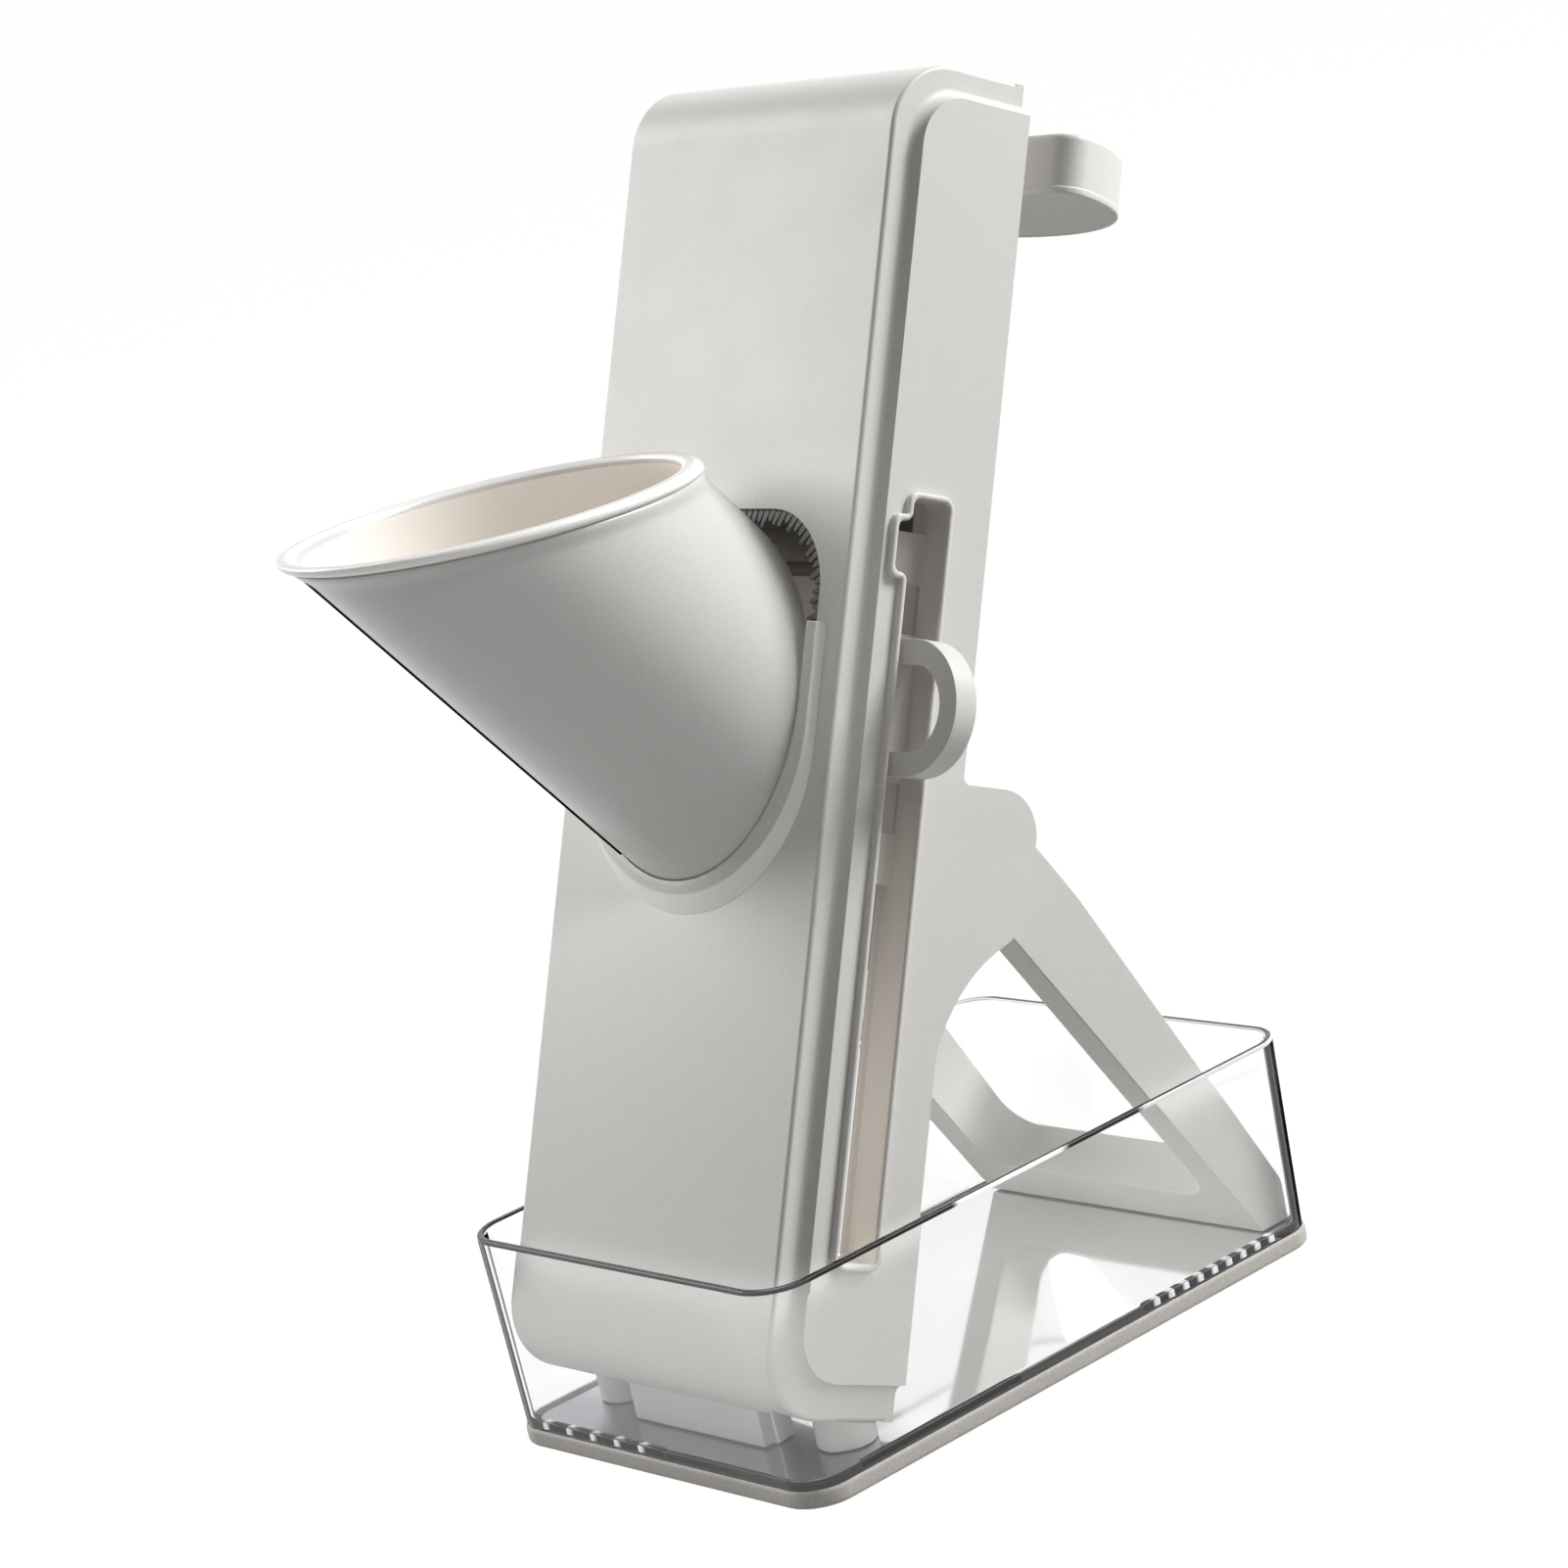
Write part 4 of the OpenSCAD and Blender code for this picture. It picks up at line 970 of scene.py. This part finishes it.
def line_kind(x, y, z):
    """Material index of a point of the bin's skin: 3 on the rim's edges, with painted reflection bands, 2
    on an upright painted refraction line, or 0.
    """
    cx = math.copysign(BIN_HALF - BIN_R, x)
    middle = (BIN_FRONT + BIN_REAR) / 2
    cy = middle + math.copysign((BIN_REAR - BIN_FRONT) / 2 - BIN_R, y - middle)
    dx, dy = abs(x) - abs(cx), abs(y - middle) - abs(cy - middle)
    away = math.hypot(max(dx, 0), max(dy, 0)) + min(max(dx, dy), 0) - BIN_R
    outer = away > draft(z) - BIN_WALL / 2
    if z > RIM_Z - RIM_OUTER_LOW:
        inner = z > RIM_Z - RIM_LINE_LOW and y >= BIN_FRONT + BIN_WALL
        return 3 if z < RIM_Z - RIM_LINE_TOP and (outer or inner) else 0
    if z < BASE_RING_H + 0.2 or dx <= 0 or dy <= 0:
        return 0
    turn = math.degrees(math.atan2(y - cy, x - cx)) % 360
    lines = (pair[0 if outer else 1] for pair in UPRIGHT_LINES)
    return 2 if any(low < turn < high for low, high in lines) else 0


def make_bin():
    """Clear bin with a rounded rim, round inner foot and polished floor, with painted refraction lines
    where its walls turn and painted reflection bands on the rim.
    """
    g = draft(RIM_Z)
    w = BIN_WALL
    inner_r = 2.6
    rings = [bin_ring(-RING_PROUD, RING_FLANGE), bin_ring(-RING_PROUD, BASE_RING_H),
             bin_ring(0, BASE_RING_H + 0.05), bin_ring(draft(BASE_RING_H + 2), BASE_RING_H + 2)]
    rings += [bin_ring(draft(z), z) for z in (20, 40)]
    rings += [bin_ring(g - out, RIM_Z - down) for out, down in RIM_SECTION]
    rings += [bin_ring(draft(z) - w, z) for z in (40, 20)]
    base = draft(FLOOR_TOP + inner_r) - w
    for k in range(7):
        turn = math.pi / 2 * k / 6
        inward = inner_r * (1 - math.cos(turn))
        rings.append(bin_ring(base - inward, FLOOR_TOP + inner_r * (1 - math.sin(turn))))
    bin_body = build("clear_bin", *loft(rings), WORLD)
    smooth(bin_body, 40)
    finish_piece(bin_body, CLEAR, "bin", "clear_plastic", "storage_bin")
    bin_body.data.materials.append(MIRROR)
    bin_body.data.materials.append(PAINTED_DARK_LINE)
    bin_body.data.materials.append(RIM_PAINTED_REFLECTION)
    for face in bin_body.data.polygons:
        flat = abs(face.normal.z) > 0.99 and abs(face.center.z - FLOOR_TOP * MM) < 0.00005
        if flat and face.area > 0.001:
            face.material_index = 1
        else:
            face.material_index = line_kind(*(face.center / MM))
    return bin_body


def make_base_ring():
    """Soft ring round the bin's foot, with rounded outer edges."""
    p = RING_PROUD
    inner = p - RING_STRIP
    top = BASE_RING_H
    section = [(inner, 0.02), (p - 1.1, 0), (p - 0.45, 0.16), (p - 0.1, 0.55), (p, 1.2), (p, top - 1),
               (p - 0.14, top - 0.4), (p - 0.45, top - 0.06), (p - 0.75, top), (-p - 0.05, top - 0.1),
               (-p - 0.05, RING_FLANGE), (inner, RING_FLANGE)]
    ring = build("foot_ring", *loft([bin_ring(grow, z) for grow, z in section], False, False, True), WORLD)
    smooth(ring, 45)
    return finish_piece(ring, RING, "bin", "ring_plastic", "bin_base_ring")


def make_blocks(name, spots, height, material):
    """Low blocks on the bin's floor, drawn in at the top; spots hold x, y, width and depth."""
    verts, faces = [], []
    for x, y, a, b in spots:
        corners = rounded([(x - a / 2, y - b / 2), (x + a / 2, y - b / 2),
                           (x + a / 2, y + b / 2), (x - a / 2, y + b / 2)], [0.5] * 4, 3)
        rings = [[(p.x, p.y, z) for p in corners] for z in (FLOOR_TOP - 0.2, FLOOR_TOP + height * 0.8)]
        centre = Vector((x, y))
        rings.append([tuple(centre + (p - centre) * 0.85) + (FLOOR_TOP + height,) for p in corners])
        some, shapes = loft(rings)
        faces += [tuple(i + len(verts) for i in face) for face in shapes]
        verts += some
    blocks = build(name, verts, faces, WORLD)
    smooth(blocks, 40)
    return finish_piece(blocks, material, "bin", "clear_plastic")


def make_ribs():
    """Small ribs between the bin's floor and its walls, pale and glowing as painted highlights, and dark
    blocks between them and along the front and side as painted shade.
    """
    front, side = BIN_FRONT + BIN_WALL + 1.2, BIN_HALF - BIN_WALL - 1.2
    ribs = [(-44 + 9.2 * k, front, 1.9, 2.6) for k in range(5)]
    ribs += [(side, BIN_REAR - 16 - 5.2 * k, 2.6, 2.0) for k in range(9)]
    make_blocks("bin_ribs", ribs, 1.5, RIB_PAINTED_HIGHLIGHT)
    # Black blocks in the gaps and along the front and side: painted shade
    painted_shade_blocks = [(-44 + 9.2 * (k + 0.5), front, 6.4, 2.2) for k in range(5)]
    painted_shade_blocks += [(side, BIN_REAR - 16 - 5.2 * (k + 0.5), 2.4, 2.6) for k in range(9)]
    painted_shade_blocks += [(21, front - 0.3, 37, 1.2), (side + 0.3, 40, 1.0, 52)]
    make_blocks("bin_rib_painted_shade", painted_shade_blocks, 1.4, PAINTED_DARK_LINE)


# Studio

def area(name, place, aim, size, power, colour=(1, 1, 1)):
    """Soft rectangular lamp aimed at a point, in metres."""
    lamp = bpy.data.lights.new(name, "AREA")
    lamp.shape = "RECTANGLE"
    lamp.size, lamp.size_y = size
    lamp.energy = power
    lamp.color = colour
    obj = bpy.data.objects.new(name, lamp)
    obj.location = place
    obj.rotation_euler = (Vector(aim) - Vector(place)).to_track_quat("-Z", "Y").to_euler()
    bpy.context.scene.collection.objects.link(obj)
    return obj


def make_camera():
    """Camera at the photograph's place, with its roll."""
    flat = math.cos(CAMERA_ELEVATION)
    ahead = Vector((-math.sin(CAMERA_AZIMUTH) * flat, math.cos(CAMERA_AZIMUTH) * flat,
                    -math.sin(CAMERA_ELEVATION)))
    level = ahead.cross(Vector((0, 0, 1))).normalized()
    down = ahead.cross(level)
    right = level * math.cos(CAMERA_ROLL) + down * math.sin(CAMERA_ROLL)
    down = ahead.cross(right)
    data = bpy.data.cameras.new("photo camera")
    data.lens = CAMERA_LENS
    data.sensor_width = 36
    data.clip_start, data.clip_end = 0.05, 200
    camera = bpy.data.objects.new("photo camera", data)
    turn = Matrix((right, -down, -ahead)).transposed().to_4x4()
    camera.matrix_world = Matrix.Translation(Vector(CAMERA_PLACE) * MM) @ turn
    bpy.context.scene.collection.objects.link(camera)
    bpy.context.scene.camera = camera


# Plain level of soft light, share and strength of the ground's own white, and its two greys
SOFT_LEVEL = 0.055
GROUND_SHARE = 0.95
GROUND_GLOW = 1.04
GROUND_BOUNCE = (0.42, 0.42, 0.42)
GROUND_SHOWN = (0.9, 0.9, 0.9)


def shown_rays(tree):
    """1 for rays of the camera, gloss and glass, 0 for those that carry soft light."""
    path = tree.nodes.new("ShaderNodeLightPath")
    shown = path.outputs["Is Camera Ray"]
    for kind in ("Is Transmission Ray", "Is Glossy Ray"):
        either = tree.nodes.new("ShaderNodeMath")
        either.operation = "MAXIMUM"
        tree.links.new(shown, either.inputs[0])
        tree.links.new(path.outputs[kind], either.inputs[1])
        shown = either.outputs[0]
    return shown


def make_world():
    """White surroundings for the camera, gloss and glass, and a plain level of soft light."""
    world = bpy.data.worlds.new("studio")
    bpy.context.scene.world = world
    world.use_nodes = True
    tree = world.node_tree
    back = tree.nodes["Background"]
    level = tree.nodes.new("ShaderNodeMapRange")
    level.inputs["To Min"].default_value = SOFT_LEVEL
    level.inputs["To Max"].default_value = 1.0
    tree.links.new(shown_rays(tree), level.inputs["Value"])
    tree.links.new(level.outputs["Result"], back.inputs["Strength"])
    back.inputs["Color"].default_value = (1, 1, 1, 1)


def make_floor():
    """White ground that shows white to the camera and keeps a faint shadow."""
    mesh = bpy.data.meshes.new("ground")
    reach = 60
    mesh.from_pydata([(-reach, -reach, 0), (reach, -reach, 0), (reach, reach, 0), (-reach, reach, 0)],
                     [], [(0, 1, 2, 3)])
    ground = bpy.data.objects.new("ground", mesh)
    ground.location.z = -0.0002
    bpy.context.scene.collection.objects.link(ground)
    material, tree, shader = nodes_of("ground")
    shader.inputs["Roughness"].default_value = 0.9
    glow = tree.nodes.new("ShaderNodeEmission")
    glow.inputs["Strength"].default_value = GROUND_GLOW
    mix = tree.nodes.new("ShaderNodeMixShader")
    share = tree.nodes.new("ShaderNodeMath")
    share.operation = "MULTIPLY"
    share.inputs[1].default_value = GROUND_SHARE
    shown = shown_rays(tree)
    tree.links.new(shown, share.inputs[0])
    tree.links.new(tint(tree, shown, GROUND_BOUNCE, GROUND_SHOWN, 0, 1), shader.inputs["Base Color"])
    tree.links.new(share.outputs[0], mix.inputs["Fac"])
    tree.links.new(shader.outputs["BSDF"], mix.inputs[1])
    tree.links.new(glow.outputs["Emission"], mix.inputs[2])
    tree.links.new(mix.outputs["Shader"], tree.nodes["Material Output"].inputs["Surface"])
    mesh.materials.append(material)


def lamp_place(azimuth, elevation, reach):
    """Place of a lamp round the object, its azimuth counted from the front toward the right side."""
    az, el = math.radians(azimuth), math.radians(elevation)
    return (reach * math.sin(az) * math.cos(el), LAMP_AIM[1] - reach * math.cos(az) * math.cos(el),
            LAMP_AIM[2] + reach * math.sin(el))


LAMP_AIM = (0, 0.07, 0.15)
LAMP_REACH = 1.6
# Azimuth and elevation in degrees, side in metres and power in watts
LAMPS = {"left": (-65, 32, 0.9, 22.4), "side": (142, 36, 0.62, 30.5)}
MOUTH_MID = (0, 21, 225)
BEAM_FROM = (0.42, -0.50, 0.76)
BEAM_REACH = 0.9
BEAM_ANGLE = 6.5
BEAM_POWER = 24


def beam(name, place, aim, angle, power):
    """Soft-edged spot lamp aimed at a point, in metres and degrees."""
    lamp = bpy.data.lights.new(name, "SPOT")
    lamp.spot_size = math.radians(angle)
    lamp.spot_blend = 0.8
    lamp.shadow_soft_size = 0.08
    lamp.energy = power
    obj = bpy.data.objects.new(name, lamp)
    obj.location = place
    obj.rotation_euler = (Vector(aim) - Vector(place)).to_track_quat("-Z", "Y").to_euler()
    bpy.context.scene.collection.objects.link(obj)
    return obj


def make_lights():
    """Large soft lamps at the left front and behind the right side, and a beam into the funnel."""
    for name, (azimuth, elevation, side, power) in LAMPS.items():
        area(name, lamp_place(azimuth, elevation, LAMP_REACH), LAMP_AIM, (side, side), power)
    mouth = Vector(MOUTH_MID) * MM
    beam("funnel", mouth + Vector(BEAM_FROM) * BEAM_REACH, mouth, BEAM_ANGLE, BEAM_POWER)


make_shell()
make_panel("panel_right", 1, "right_panel")
make_panel("panel_left", -1, "left_panel")
make_slot()
make_opening_teeth()
make_funnel()
make_shade_line()
make_bracket()
make_cap()
make_bin()
make_base_ring()
make_ribs()

# Finer copies of the nodes whose shape is right: material, body, slot, edge width in millimetres
FINER = {
    "back_cover": (SHELL, "housing", "shell_plastic", 0.5),
    "foot_bar": (SHELL, "housing", "shell_plastic", 0.5),
    "body_foot_1": (SHELL, "housing", "shell_plastic", 0.6),
    "body_foot_2": (SHELL, "housing", "shell_plastic", 0.6),
    "discharge_chute": (SHELL, "housing", "shell_plastic", 0.3),
    "stand_frame": (STAND, "stand", "shell_plastic", 0.7),
    "pull_ring": (SHELL, "carriage", "shell_plastic", 0.7),
    "stand_pad_right": (RUBBER, "stand", "pad_rubber", 0.15),
    "stand_pad_left": (RUBBER, "stand", "pad_rubber", 0.15),
    "throat_ring": (DARK, "housing", "dark_plastic", 0.3),
    # The handle block and guide rails take the slot's painted light and shade
    "handle_block": (SLOT_PAINTED_LIGHT, "carriage", "dark_plastic", 0.3),
    "carriage_frame": (CARRIAGE, "carriage", "dark_plastic", 0.3),
    "guide_rail_right": (SLOT_PAINTED_LIGHT, "housing", "dark_plastic", 0.2),
    "guide_rail_left": (SLOT_PAINTED_LIGHT, "housing", "dark_plastic", 0.2),
    "slicing_blade": (STEEL, "carriage", "steel", 0.15),
    "comb_blade": (STEEL, "carriage", "steel", 0.1),
    "landing_plate": (STEEL, "carriage", "steel", 0.15),
    "hinge_pin_right": (STEEL, "housing", "steel", 0.3),
    "hinge_pin_left": (STEEL, "housing", "steel", 0.3),
    "hinge_washer_right": (DARK, "housing", "dark_plastic", 0.15),
    "hinge_washer_left": (DARK, "housing", "dark_plastic", 0.15),
}
# Carriage shoes take the slot's painted light and shade
for shoe in range(1, 5):
    FINER[f"carriage_shoe_{shoe}"] = (SLOT_PAINTED_LIGHT, "carriage", "dark_plastic", 0.2)
    FINER[f"cover_screw_{shoe}"] = (STEEL, "housing", "steel", 0.25)
for screw in range(1, 3):
    FINER[f"blade_screw_{screw}"] = (STEEL, "carriage", "steel", 0.15)
    FINER[f"handle_screw_{screw}"] = (STEEL, "carriage", "steel", 0.25)
for node_name, (material, body, slot, width) in FINER.items():
    finer(node_name, material, body, slot, width)

pale_side(bpy.data.objects["carriage_frame_fine"])

make_camera()
make_world()
make_floor()
make_lights()
bpy.context.scene.view_settings.view_transform = "Standard"
